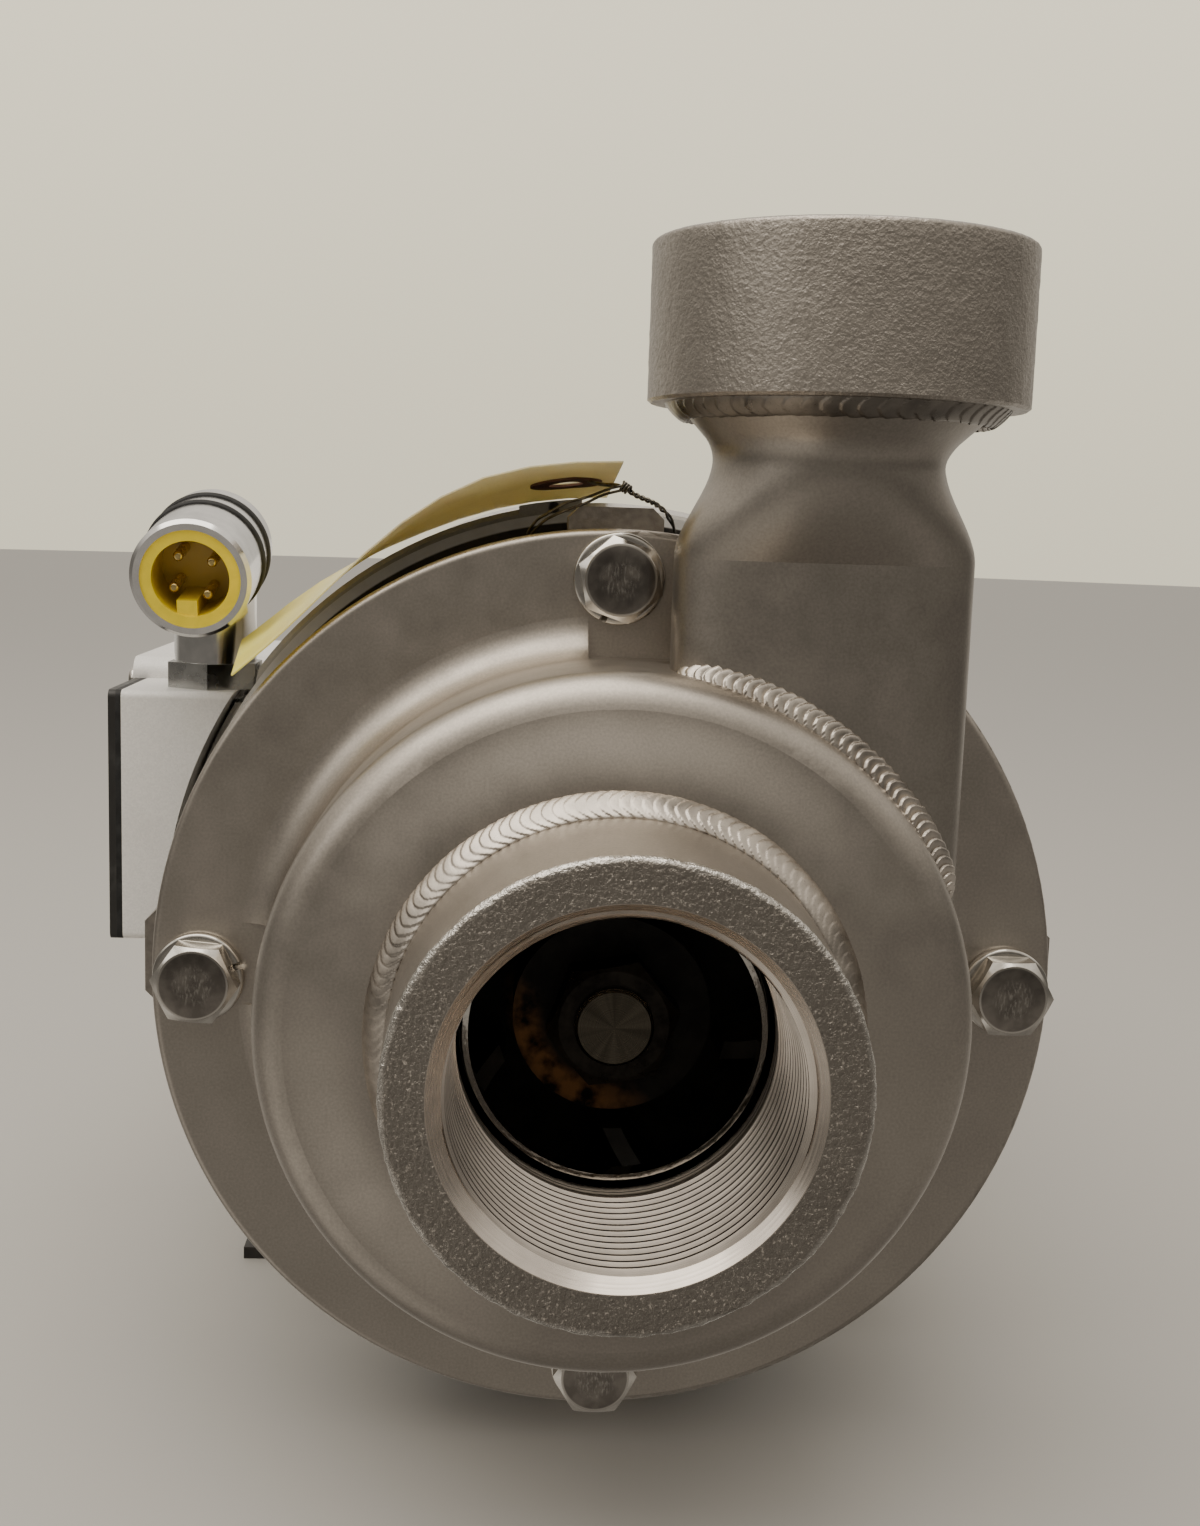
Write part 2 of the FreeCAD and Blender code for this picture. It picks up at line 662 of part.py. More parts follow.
front_race_r = 26.0
front_bell = lathe([
    (COLLAR_R + 1.0, MOTOR_FACE - 3),
    (RABBET_R - SEAT, MOTOR_FACE - 3),
    (RABBET_R - SEAT, MOTOR_FACE),
    (MOTOR_R - 1.0, MOTOR_FACE),
    (MOTOR_R, MOTOR_FACE + 1.0),
    (MOTOR_R, BELL_END),
    (frame_inner, BELL_END),
    (frame_inner, BELL_END + 4),
    (frame_inner - 4, BELL_END + 4),
    (frame_inner - 4, MOTOR_FACE + 13),
    (36.0, MOTOR_FACE + 13),
    (33.0, front_seat_start + FRONT_BEARING_WIDTH + 3),
    (front_race_r, front_seat_start + FRONT_BEARING_WIDTH + 3),
    (front_race_r, front_seat_start - 0.5),
    (COLLAR_R + 1.0, front_seat_start - 0.5),
])
bell_boss = rounded_box(-19.0, -5.5, MOTOR_FACE - 0.0, MOTOR_FACE + 10, MOTOR_R - 6, MOTOR_R + 1.2, 0.5, AXIS_Y)
bell_boss = bell_boss.common(along_y(MOTOR_R + 0.8, 0, 100))
front_bell = front_bell.fuse(bell_boss)
bell_taps = [turned(along_y(BOLT_TAPPED_R, MOTOR_FACE, MOTOR_FACE + 13, FACE_BOLT_R), a) for a in (45, 135, 225, 315)]
boss_hole = along_y(1.2, MOTOR_FACE - 1, MOTOR_FACE + 8, -11.5, MOTOR_R - 1.3)
through_holes = around(along_y(through_bolt_r, MOTOR_FACE + 5, FRAME_END + 34, through_r), 4, 20)
nut_room = Part.makeCylinder(STEM_NUT_FLATS / math.sqrt(3) + 0.6, 15, Vector(STEM_X, STEM_Y, BOX_TOP - 3), AXIS_Z)
front_bell = front_bell.cut(nut_room)
front_bell = cut(front_bell, bell_taps + [boss_hole] + through_holes).removeSplitter()
save("front_end_bell", front_bell)

rear_race_r = 20.0
rear_face = FRAME_END + 23
rear_bell = lathe([
    (REAR_SEAT_R + 1.5, rear_face),
    (REAR_SEAT_R + 1.5, rear_face - 3.5),
    (rear_race_r, rear_face - 3.5),
    (rear_race_r, FRAME_END + 3),
    (27.0, FRAME_END + 3),
    (30.0, FRAME_END + 12),
    (frame_inner - 4, FRAME_END + 10),
    (frame_inner - 4, FRAME_END - 4),
    (frame_inner, FRAME_END - 4),
    (frame_inner, FRAME_END),
    (MOTOR_R, FRAME_END),
    (MOTOR_R, rear_face - 8),
    (frame_inner, rear_face - 3),
    (MOTOR_R - 32.0, rear_face),
])
rear_bell = cut(rear_bell, through_holes)
cover_screw_y = FRAME_END + 8.5
screw_hole = Part.makeCylinder(1.9, 12, Vector(MOTOR_R - 7, cover_screw_y, 0), Vector(1, 0, 0))
rear_bell = cut(rear_bell, around(screw_hole, 4, 45))
save("rear_end_bell", rear_bell)

rod = along_y(through_bolt_r, MOTOR_FACE + 5, rear_face - 1, through_r)
rod = rod.fuse(hexagon(8.0, rear_face - 1.8, rear_face + 2.2, through_r)).removeSplitter()
save("through_bolts", Part.makeCompound(around(rod, 4, 20)))

# Ball bearings: races with grooves, a caged set of balls between them


def bearing(name, bore_r, outer_r, start, width, pitch_r, ball_r, balls):
    middle = start + width / 2
    shoulder = ball_r * 0.52
    groove = Part.makeTorus(pitch_r, ball_r + RUNNING, Vector(0, middle, 0), AXIS_Y)
    inner = ring(bore_r, pitch_r - shoulder, start, start + width).cut(groove)
    outer = ring(pitch_r + shoulder, outer_r, start, start + width).cut(groove)
    save(name + "_inner_race", inner)
    save(name + "_outer_race", outer)
    ball = Part.makeSphere(ball_r, Vector(pitch_r, middle, 0))
    save(name + "_balls", Part.makeCompound(around(ball, balls)))
    pocket = Part.makeCylinder(ball_r + 0.1, 8, Vector(pitch_r - 4, middle, 0), Vector(1, 0, 0))
    cage_half = ball_r + 1.2
    cage = ring(pitch_r - 0.8, pitch_r + 0.8, middle - cage_half, middle + cage_half)
    save(name + "_cage", cut(cage, around(pocket, balls)))


bearing("front_bearing", FRONT_SEAT_R, front_race_r, front_seat_start, FRONT_BEARING_WIDTH, 19.25, 3.9, 9)
bearing("rear_bearing", REAR_SEAT_R, rear_race_r, rear_seat_start, REAR_BEARING_WIDTH, 14.25, 3.3, 8)

washer_start = rear_seat_start + REAR_BEARING_WIDTH
preload_washer = lathe([
    (rear_race_r - 2.4, washer_start),
    (rear_race_r - 0.2, rear_face - 4.2),
    (rear_race_r - 0.2, rear_face - 3.5),
    (rear_race_r - 0.8, rear_face - 3.5),
    (rear_race_r - 2.4, washer_start + 0.7),
])
save("preload_washer", preload_washer)

# Cooling fan and its cover

fan_hub_r = REAR_SEAT_R + 8.5
blade = box(fan_hub_r - 1, FAN_R, fan_back - 15, fan_back, -1.2, 1.2)
fan = fuse([ring(REAR_SEAT_R, fan_hub_r, fan_back - 18, fan_back + 3), ring(REAR_SEAT_R, FAN_R, fan_back, fan_back + 2)] + around(blade, 8))
save("cooling_fan", fan)

cover_r = MOTOR_R + COVER_WALL
cover_start = FRAME_END + 3
cover_round = 9.0
cover_mid = cover_round * (1 - math.sqrt(0.5))
inner_round = cover_round - COVER_WALL
inner_round_mid = inner_round * (1 - math.sqrt(0.5))
fan_cover = lathe([
    (MOTOR_R, cover_start),
    (cover_r, cover_start),
    (cover_r, COVER_END - cover_round),
    (cover_r - cover_mid, COVER_END - cover_mid, cover_r - cover_round, COVER_END),
    (0, COVER_END),
    (0, COVER_END - COVER_WALL),
    (cover_r - cover_round, COVER_END - COVER_WALL),
    (MOTOR_R - inner_round_mid, COVER_END - COVER_WALL - inner_round_mid,
     MOTOR_R, COVER_END - COVER_WALL - inner_round),
])
grille_slot = box(24.0, MOTOR_R - 26.3, COVER_END - 4, COVER_END + 1, -2.6, 2.6)
cover_screw_hole = Part.makeCylinder(2.2, 6, Vector(MOTOR_R - 2, cover_screw_y, 0), Vector(1, 0, 0))
fan_cover = cut(fan_cover, around(grille_slot, 18) + around(cover_screw_hole, 4, 45))
save("fan_cover", fan_cover)

screw = Part.makeCylinder(1.9, 8, Vector(cover_r - 7.5, cover_screw_y, 0), Vector(1, 0, 0))
screw = screw.fuse(Part.makeCylinder(3.4, 1.5, Vector(cover_r, cover_screw_y, 0), Vector(1, 0, 0))).removeSplitter()
save("fan_cover_screws", Part.makeCompound(around(screw, 4, 45)))

# Mounting base: a slotted plate with two webs up to the frame

base_rear = 2 * FEET_Y - BASE_FRONT
frame_body = along_y(MOTOR_R, BASE_FRONT - 1, base_rear + 1)
base_parts = [box(-BASE_HALF_WIDTH, BASE_HALF_WIDTH, BASE_FRONT, base_rear, -SHAFT_HEIGHT, -SHAFT_HEIGHT + BASE_THICK)]
web_top = -math.sqrt(MOTOR_R ** 2 - WEB_X ** 2) + 6
for side in (-1, 1):
    web_x = side * WEB_X
    base_parts.append(box(web_x - WEB_THICK / 2, web_x + WEB_THICK / 2, BASE_FRONT + 6, base_rear - 6,
                          -SHAFT_HEIGHT, web_top))
base_plate = fuse(base_parts).cut(frame_body)
foot_slots = []
half_straight = SLOT_LENGTH / 2 - SLOT_HALF_WIDTH
for x in (-FOOT_SPACING_X / 2, FOOT_SPACING_X / 2):
    for y in (FEET_Y - FOOT_SPACING_Y / 2, FEET_Y + FOOT_SPACING_Y / 2):
        slot_body = box(x - half_straight, x + half_straight, y - SLOT_HALF_WIDTH, y + SLOT_HALF_WIDTH,
                        -SHAFT_HEIGHT - 1, -SHAFT_HEIGHT + 6)
        for end in (-half_straight, half_straight):
            slot_body = slot_body.fuse(Part.makeCylinder(SLOT_HALF_WIDTH, 7, Vector(x + end, y, -SHAFT_HEIGHT - 1)))
        foot_slots.append(slot_body)
mounting_base = cut(base_plate, foot_slots).removeSplitter()
save("mounting_base", mounting_base)

# Junction box: open on its left, closed by a gasket and a cover plate

motor_clear = along_y(MOTOR_R + 0.7, 0, BELL_END + 0.3)
frame_solid = along_y(MOTOR_R, BELL_END, FRAME_END)
box_shell = rounded_box(BOX_LEFT, BOX_LEFT + 42, BOX_FRONT, BOX_REAR, BOX_LOW, BOX_TOP, 1.6, Vector(1, 0, 0))
box_shell = box_shell.cut(motor_clear)
hollow = box(BOX_LEFT - 1, BOX_LEFT + 42, BOX_FRONT + BOX_WALL, BOX_REAR - BOX_WALL, BOX_LOW + BOX_WALL, BOX_TOP - BOX_WALL)
hollow = hollow.cut(along_y(MOTOR_R + 0.7 + BOX_WALL, 0, 200))
nipple_x = BOX_LEFT + 5.8
nipple_z = 34.0
nipple_hole = along_y(4.6, BOX_REAR - 10, BOX_REAR + 8, nipple_x, nipple_z)
screw_zs = (45.0, 5.0)
screw_y = (BOX_FRONT + BOX_REAR) / 2
posts = [
    box(BOX_LEFT, BOX_LEFT + 6, screw_y - 4, screw_y + 4, 41, BOX_TOP - 1),
    box(BOX_LEFT, BOX_LEFT + 7.5, screw_y - 4, screw_y + 4, BOX_LOW + 1, 9),
]
junction_box = fuse([box_shell.cut(hollow)] + posts)
post_taps = [Part.makeCylinder(1.5, 5.5, Vector(BOX_LEFT, screw_y, z), Vector(1, 0, 0)) for z in screw_zs]
junction_box = cut(junction_box, [nipple_hole] + post_taps)
stem_hole = Part.makeCylinder(STEM_FOOT_R, 10, Vector(STEM_X, STEM_Y, BOX_TOP - 4.5), AXIS_Z)
junction_box = junction_box.cut(stem_hole)
save("junction_box", junction_box)


def box_screws(x_seat, y_list, z_list, length, head_r):
    pieces = []
    for y in y_list:
        for z in z_list:
            shank = Part.makeCylinder(1.5, length, Vector(x_seat, y, z), Vector(1, 0, 0))
            head = Part.makeCylinder(head_r, 2.0, Vector(x_seat - 2.0, y, z), Vector(1, 0, 0))
            head = head.makeFillet(0.9, [e for e in head.Edges if e.CenterOfMass.x < x_seat - 1.5 and e.Closed])
            pieces.append(head.fuse(shank).removeSplitter())
    return pieces


def sheet(x0, x1, y0, y1, z0, z1, corner, holes):
    plate = rounded_box(x0, x1, y0, y1, z0, z1, corner, Vector(1, 0, 0))
    return cut(plate, holes)


cover_left = BOX_LEFT - BOX_GASKET - BOX_COVER
box_holes = [Part.makeCylinder(1.7, 20, Vector(cover_left - 1, screw_y, z), Vector(1, 0, 0)) for z in screw_zs]
gasket_shape = sheet(BOX_LEFT - BOX_GASKET, BOX_LEFT, BOX_FRONT, BOX_REAR, BOX_LOW, BOX_TOP, 1.6, box_holes)
gasket_shape = gasket_shape.cut(box(BOX_LEFT - 3, BOX_LEFT + 1, BOX_FRONT + 4, BOX_REAR - 4, 9, 41))
save("junction_gasket", gasket_shape)
cover_plate = sheet(cover_left, BOX_LEFT - BOX_GASKET, BOX_FRONT, BOX_REAR, BOX_LOW, BOX_TOP, 1.6, box_holes)
save("junction_cover", cover_plate)
save("junction_cover_screws", Part.makeCompound(box_screws(cover_left, [screw_y], screw_zs, 7.5, 2.2)))

# Terminal box on the motor frame

terminal = rounded_box(TERMINAL_LEFT, TERMINAL_LEFT + 44, BOX_REAR, TERMINAL_REAR, TERMINAL_LOW, TERMINAL_TOP, 4.0, Vector(1, 0, 0))
terminal = terminal.cut(motor_clear).cut(frame_solid)
terminal_hollow = box(TERMINAL_LEFT - 1, TERMINAL_LEFT + 44, BOX_REAR + BOX_WALL, TERMINAL_REAR - BOX_WALL,
                      TERMINAL_LOW + BOX_WALL, TERMINAL_TOP - BOX_WALL)
terminal_hollow = terminal_hollow.cut(along_y(MOTOR_R + 0.7 + BOX_WALL, 0, 300))
terminal = cut(terminal, [terminal_hollow, nipple_hole])
save("terminal_box", terminal)
terminal_cover_left = TERMINAL_LEFT - BOX_COVER
lid_ys = (BOX_REAR + 5.5, TERMINAL_REAR - 5.5)
lid_zs = (TERMINAL_LOW + 5.5, TERMINAL_TOP - 5.5)
lid_holes = []
for y in lid_ys:
    for z in lid_zs:
        lid_holes.append(Part.makeCylinder(1.5, 14, Vector(terminal_cover_left - 1, y, z), Vector(1, 0, 0)))
terminal_cover = sheet(terminal_cover_left, TERMINAL_LEFT, BOX_REAR, TERMINAL_REAR, TERMINAL_LOW, TERMINAL_TOP, 4.0, lid_holes)
save("terminal_cover", terminal_cover)
save("terminal_cover_screws", Part.makeCompound(box_screws(terminal_cover_left, lid_ys, lid_zs, 5.0, 3.0)))

nipple = along_y(4.6, BOX_REAR - 7, BOX_REAR + 7, nipple_x, nipple_z)
nipple = nipple.cut(along_y(3.0, BOX_REAR - 7, BOX_REAR + 7, nipple_x, nipple_z))
save("box_nipple", nipple)

# Elbow connector: a stem in the box top and a barrel that leans down towards its mouth


def tilted(shape):
    """Takes a shape drawn along Y, mouth at 0, to the barrel's place."""
    copy = shape.copy()
    copy.rotate(ORIGIN, Vector(1, 0, 0), CONNECTOR_TILT)
    copy.translate(Vector(STEM_X, MOUTH_Y, MOUTH_Z))
    return copy


barrel = lathe([
    (INSERT_R, 0),
    (CONNECTOR_R - 0.8, 0),
    (CONNECTOR_R, 0.8),
    (CONNECTOR_R, 15.5),
    (CONNECTOR_R - 1.4, 15.5),
    (CONNECTOR_R - 1.4, 17.7),
    (CONNECTOR_R, 17.7),
    (CONNECTOR_R, 23.0),
    (CONNECTOR_R - 1.4, 23.0),
    (CONNECTOR_R - 1.4, 25.2),
    (CONNECTOR_R, 25.2),
    (CONNECTOR_R, CONNECTOR_LENGTH - 2.5),
    (CONNECTOR_R - 0.8, CONNECTOR_LENGTH - 0.8, CONNECTOR_R - 2.5, CONNECTOR_LENGTH),
    (0, CONNECTOR_LENGTH),
    (0, 18.0),
    (INSERT_R, 18.0),
])
stem_base = BOX_TOP
stem_nut_top = stem_base + 5.5
stem = Part.makeCylinder(8.8, 16, Vector(STEM_X, STEM_Y, stem_nut_top), AXIS_Z)
stem_foot = Part.makeCylinder(STEM_FOOT_R, 8.0, Vector(STEM_X, STEM_Y, BOX_TOP - 2.5), AXIS_Z)
barrel_hollow = tilted(along_y(CONNECTOR_R - 1.5, 0, CONNECTOR_LENGTH - 4))
connector_body = fuse([tilted(barrel), stem.cut(barrel_hollow), stem_foot])
o_ring_places = (16.6, 24.1)
for place in o_ring_places:
    groove = ring(CONNECTOR_R - 1.4, CONNECTOR_R + 0.3, place - 1.1, place + 1.1)
    connector_body = connector_body.cut(tilted(groove))
save("connector_body", connector_body)

nut_points = []
nut_corner = STEM_NUT_FLATS / math.sqrt(3)
for i in range(7):
    angle = math.radians(60 * i + 30)
    nut_points.append(Vector(STEM_X + nut_corner * math.cos(angle), STEM_Y + nut_corner * math.sin(angle), stem_base))
stem_nut = Part.Face(Part.makePolygon(nut_points)).extrude(Vector(0, 0, 5.5))
stem_nut = stem_nut.cut(Part.makeCylinder(STEM_FOOT_R, 8, Vector(STEM_X, STEM_Y, stem_base - 1), AXIS_Z))
save("connector_nut", stem_nut)

o_rings = []
for place in o_ring_places:
    band = ring(CONNECTOR_R - 1.4, CONNECTOR_R + 0.25, place - 1.0, place + 1.0)
    o_rings.append(tilted(band))
save("connector_o_rings", Part.makeCompound(o_rings))

insert = lathe([
    (CAVITY_R, 0.4),
    (INSERT_R, 0.4),
    (INSERT_R, 18.0),
    (0, 18.0),
    (0, CAVITY_DEPTH),
    (CAVITY_R, CAVITY_DEPTH),
])
key_tab = box(-3.0, 1.1, 0.8, CAVITY_DEPTH + 1, -CAVITY_R - 0.5, -CAVITY_R + 3.2)
pin_shapes = []
for degrees in (36, 127, 214, 305):
    angle = math.radians(degrees)
    x = PIN_CIRCLE_R * math.cos(angle)
    z = PIN_CIRCLE_R * math.sin(angle)
    pin = along_y(PIN_R, 3.2, 15.0, x, z)
    pin = pin.makeFillet(0.7, [e for e in pin.Edges if e.CenterOfMass.y < 3.3])
    pin_shapes.append(pin)
insert_body = cut(insert.fuse(key_tab), pin_shapes).removeSplitter()
save("connector_insert", tilted(insert_body))
save("connector_pins", Part.makeCompound([tilted(pin) for pin in pin_shapes]))

# Hang tag: a card laid over the motor, lifted at its near edge above the flange

tag_near_r = LUG_R + 8.1
tag_far_r = MOTOR_R + 1.1


def eased(value, start, end):
    t = min(1.0, max(0.0, (value - start) / (end - start)))
    return t * t * (3 - 2 * t)


def tag_edges(degrees):
    """Radii of the near and far edges; towards the left end the card twists, so that its top shows."""
    near_r = tag_near_r - 8.5 * eased(degrees, 101.0, 133.0) + 1.2 * eased(degrees, 135.0, 142.0)
    far_r = tag_far_r + 4.8 * eased(degrees, 112.0, 150.0)
    return near_r, far_r


def tag_section(degrees, near, far):
    angle = math.radians(degrees)
    near_r, far_r = tag_edges(degrees)
    slope = (far_r - near_r) / (TAG_FAR - TAG_NEAR)
    near_r = near_r + slope * (near - TAG_NEAR)
    corners = []
    for r, y in ((near_r, near), (far_r, far), (far_r + TAG_THICK, far), (near_r + TAG_THICK, near)):
        corners.append(Vector(r * math.cos(angle), y, r * math.sin(angle)))
    return Part.makePolygon(corners + corners[:1])


tag_wires = []
for degrees in range(90, 136, 5):
    tag_wires.append(tag_section(degrees, TAG_NEAR, TAG_FAR))
tag_wires.append(tag_section(137.0, TAG_NEAR, TAG_FAR))
tag_wires.append(tag_section(141.0, TAG_NEAR, TAG_FAR - 16))
hang_tag = Part.makeLoft(tag_wires, True, True)
eyelet_axis = Vector(0, 0, 1)
hole_tool = Part.makeCylinder(EYELET_HOLE_R, 30, Vector(EYELET_X, EYELET_Y, LUG_R - 6), eyelet_axis)
hang_tag = hang_tag.cut(hole_tool)
save("hang_tag", hang_tag)

# The eyelet is a thin patch on the underside of the card round its hole
patch_wires = []
for degrees in (90, 95, 100, 105):
    angle = math.radians(degrees)
    corners = []
    for drop in (0.45, 0.0):
        for r, y in zip(tag_edges(degrees), (TAG_NEAR, TAG_FAR)):
            corners.append(Vector((r - drop) * math.cos(angle), y, (r - drop) * math.sin(angle)))
    order = [corners[0], corners[1], corners[3], corners[2], corners[0]]
    patch_wires.append(Part.makePolygon(order))
patch = Part.makeLoft(patch_wires, True, True)
disc = Part.makeCylinder(EYELET_R, 30, Vector(EYELET_X, EYELET_Y, LUG_R - 6), eyelet_axis)
tag_eyelet = patch.common(disc).cut(hole_tool)
save("tag_eyelet", tag_eyelet)

# Wire: through the eyelet, over the lug, down behind it and back up to the knot

lug_rear = plate_rear + LUG_THICK
wire_points = [
    Vector(EYELET_X + 0.5, EYELET_Y, LUG_R + 8.5),
    Vector(EYELET_X + 1.0, EYELET_Y - 0.5, LUG_R + 3.0),
    Vector(-5.0, 18.0, LUG_R + 2.4),
    Vector(1.2, 12.0, LUG_R + 3.9),
    Vector(8.8, 11.5, LUG_R - 1.4),
    Vector(12.2, 18.0, LUG_R - 5.3),
    Vector(11.0, lug_rear + 1.6, LUG_R - 6.8),
    Vector(0.0, lug_rear + 2.4, LUG_R - 6.8),
    Vector(-13.0, lug_rear + 1.6, LUG_R - 6.8),
    Vector(-16.5, 18.0, LUG_R - 5.3),
    Vector(-11.0, 12.0, LUG_R - 0.3),
    Vector(-1.6, 11.2, LUG_R + 2.5),
]


def bent_path(points, bend):
    """Straight lengths joined by arcs."""
    edges = []
    here = points[0]
    for before, corner, after in zip(points, points[1:], points[2:]):
        u = (before - corner).normalize()
        v = (after - corner).normalize()
        half = 0.5 * u.getAngle(v)
        back = min(bend / math.tan(half), 0.45 * min((before - corner).Length, (after - corner).Length))
        radius = back * math.tan(half)
        inward = (u + v).normalize()
        middle = corner + inward * (radius / math.sin(half) - radius)
        edges.append(Part.makeLine(here, corner + u * back))
        edges.append(Part.Arc(corner + u * back, middle, corner + v * back).toShape())
        here = corner + v * back
    edges.append(Part.makeLine(here, points[-1]))
    return Part.Wire(edges)


wire_path = bent_path(wire_points, 3.0)
wire_heading = (wire_points[1] - wire_points[0]).normalize()
across = wire_heading.cross(Vector(1, 0, 0)).normalize()
upward = wire_heading.cross(across)
wire_corners = []
for i in range(6):
    angle = math.pi * i / 3
    wire_corners.append(wire_points[0] + across * (WIRE_R * math.cos(angle)) + upward * (WIRE_R * math.sin(angle)))
wire_profile = Part.makePolygon(wire_corners + wire_corners[:1])
tag_wire = wire_path.makePipeShell([wire_profile], True, False)
save("tag_wire", tag_wire)
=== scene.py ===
# %% [markdown]
# # A centrifugal pump, dressed over its CAD frame
# The solids of this pump come from its CAD source, and they stay where they are. This script gives
# them their finishes, and it models what solids leave out: pipe threads, rippled weld beads, recessed
# screws, rubber rings, a tag's twisted wire, and the marks that a lathe leaves. Everything is in metres.

# %% Load the frame
import bpy
import bmesh
import json
import math
from mathutils import Matrix, Vector, noise

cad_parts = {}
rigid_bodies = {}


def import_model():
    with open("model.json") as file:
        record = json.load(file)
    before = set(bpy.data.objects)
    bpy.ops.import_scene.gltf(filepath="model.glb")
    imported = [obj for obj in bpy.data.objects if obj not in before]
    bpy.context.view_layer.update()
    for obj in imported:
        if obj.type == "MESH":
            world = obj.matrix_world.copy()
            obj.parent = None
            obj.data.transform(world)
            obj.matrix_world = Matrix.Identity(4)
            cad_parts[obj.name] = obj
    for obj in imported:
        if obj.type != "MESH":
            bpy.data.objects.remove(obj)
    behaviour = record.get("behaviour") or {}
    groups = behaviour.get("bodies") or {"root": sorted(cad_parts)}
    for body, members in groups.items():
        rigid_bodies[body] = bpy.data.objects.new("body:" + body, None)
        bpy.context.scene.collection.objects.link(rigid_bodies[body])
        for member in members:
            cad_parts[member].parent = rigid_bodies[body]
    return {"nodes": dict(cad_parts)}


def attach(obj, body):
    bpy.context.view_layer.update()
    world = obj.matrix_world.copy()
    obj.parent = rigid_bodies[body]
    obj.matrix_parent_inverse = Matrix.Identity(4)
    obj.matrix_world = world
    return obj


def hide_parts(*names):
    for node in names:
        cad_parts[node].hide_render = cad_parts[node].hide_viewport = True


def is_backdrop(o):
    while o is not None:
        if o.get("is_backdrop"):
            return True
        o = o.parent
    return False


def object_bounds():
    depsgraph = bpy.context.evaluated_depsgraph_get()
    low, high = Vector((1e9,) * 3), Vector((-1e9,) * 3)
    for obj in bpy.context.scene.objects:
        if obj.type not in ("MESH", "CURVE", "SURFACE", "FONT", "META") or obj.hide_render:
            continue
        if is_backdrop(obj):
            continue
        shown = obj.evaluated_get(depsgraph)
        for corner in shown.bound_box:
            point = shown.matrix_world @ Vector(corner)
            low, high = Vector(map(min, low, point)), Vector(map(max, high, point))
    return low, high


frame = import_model()
nodes = frame["nodes"]
cad_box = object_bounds()
print("nodes:", len(nodes), "box:", [round(v, 4) for corner in cad_box for v in corner])

# %% [markdown]
# ## Places that the whole script shares
# The pump turns about an axis along Y. Millimetres are easier to read for machine parts, so a small
# helper turns a place given about the pump axis, with the flange's front at y = 0, into the frame.

# %% Places about the pump axis
MM = 0.001
AXIS_HEIGHT = 95.25
FLANGE_Y = -140.0


def place(x, y, z):
    """A point in metres from millimetres about the pump axis."""
    return Vector((x * MM, (y + FLANGE_Y) * MM, (z + AXIS_HEIGHT) * MM))


def polar(radius, degrees, y):
    angle = math.radians(degrees)
    return place(radius * math.cos(angle), y, radius * math.sin(angle))


PUMP_AXIS = place(0, 0, 0)
SUCTION_ROOT_RADIUS = 39.8
SUCTION_RIM_RADIUS = 38.8
SUCTION_FACE_Y = -69.0
SUCTION_MOUTH_RADIUS = 31.5
SUCTION_CREST_RADIUS = 28.7
SUCTION_THREAD_LENGTH = 32.0
DRUM_FACE_Y = -37.0
DRUM_RADIUS = 63.5
DISCHARGE_X = 36.2
DISCHARGE_Y = -18.0
DISCHARGE_RADIUS = 33.3
DISCHARGE_MOUTH_RADIUS = 25.2
DISCHARGE_CREST_RADIUS = 22.7
DISCHARGE_FOOT_Z = 109.5
DISCHARGE_TOP_Z = 137.0
PIPE_PITCH = 25.4 / 11.5
PIPE_TAPER = 1 / 32

# %% [markdown]
# ## Camera
# The photograph was taken close to the pump, a little above the axis, and looks slightly down. The
# place, heading, tilt and roll below put the flange, ports and bolts where the photograph has them.

# %% Camera
PHOTO_HEIGHT = 1526
FOCAL_LENGTH_PIXELS = 1720.0
CAMERA_PLACE = place(-19.41, -323.62, 89.74)
CAMERA_HEADING = math.radians(2.9936)
CAMERA_TILT = math.radians(-8.2086)
CAMERA_ROLL = math.radians(1.819)

look = Vector((math.sin(CAMERA_HEADING) * math.cos(CAMERA_TILT),
               math.cos(CAMERA_HEADING) * math.cos(CAMERA_TILT),
               math.sin(CAMERA_TILT)))
level_right = look.cross(Vector((0, 0, 1))).normalized()
level_up = level_right.cross(look)
right = level_right * math.cos(CAMERA_ROLL) + level_up * math.sin(CAMERA_ROLL)
up = level_up * math.cos(CAMERA_ROLL) - level_right * math.sin(CAMERA_ROLL)
camera_data = bpy.data.cameras.new("camera")
camera_data.sensor_width = 36.0
camera_data.lens = FOCAL_LENGTH_PIXELS * camera_data.sensor_width / PHOTO_HEIGHT
camera = bpy.data.objects.new("camera", camera_data)
camera.matrix_world = Matrix.Translation(CAMERA_PLACE) @ Matrix((right, up, -look)).transposed().to_4x4()
bpy.context.scene.collection.objects.link(camera)
bpy.context.scene.camera = camera
print("camera lens:", round(camera_data.lens, 2), "mm")

# %% [markdown]
# ## Small tools for node trees
# The room, a finish and a modelling recipe are all trees of nodes, so they share one small set of tools.
# What a node gives is a value, and a formula on values reads as a formula does: `radius - depth * tooth`
# adds the two nodes that work it out.

# %% Values and graphs


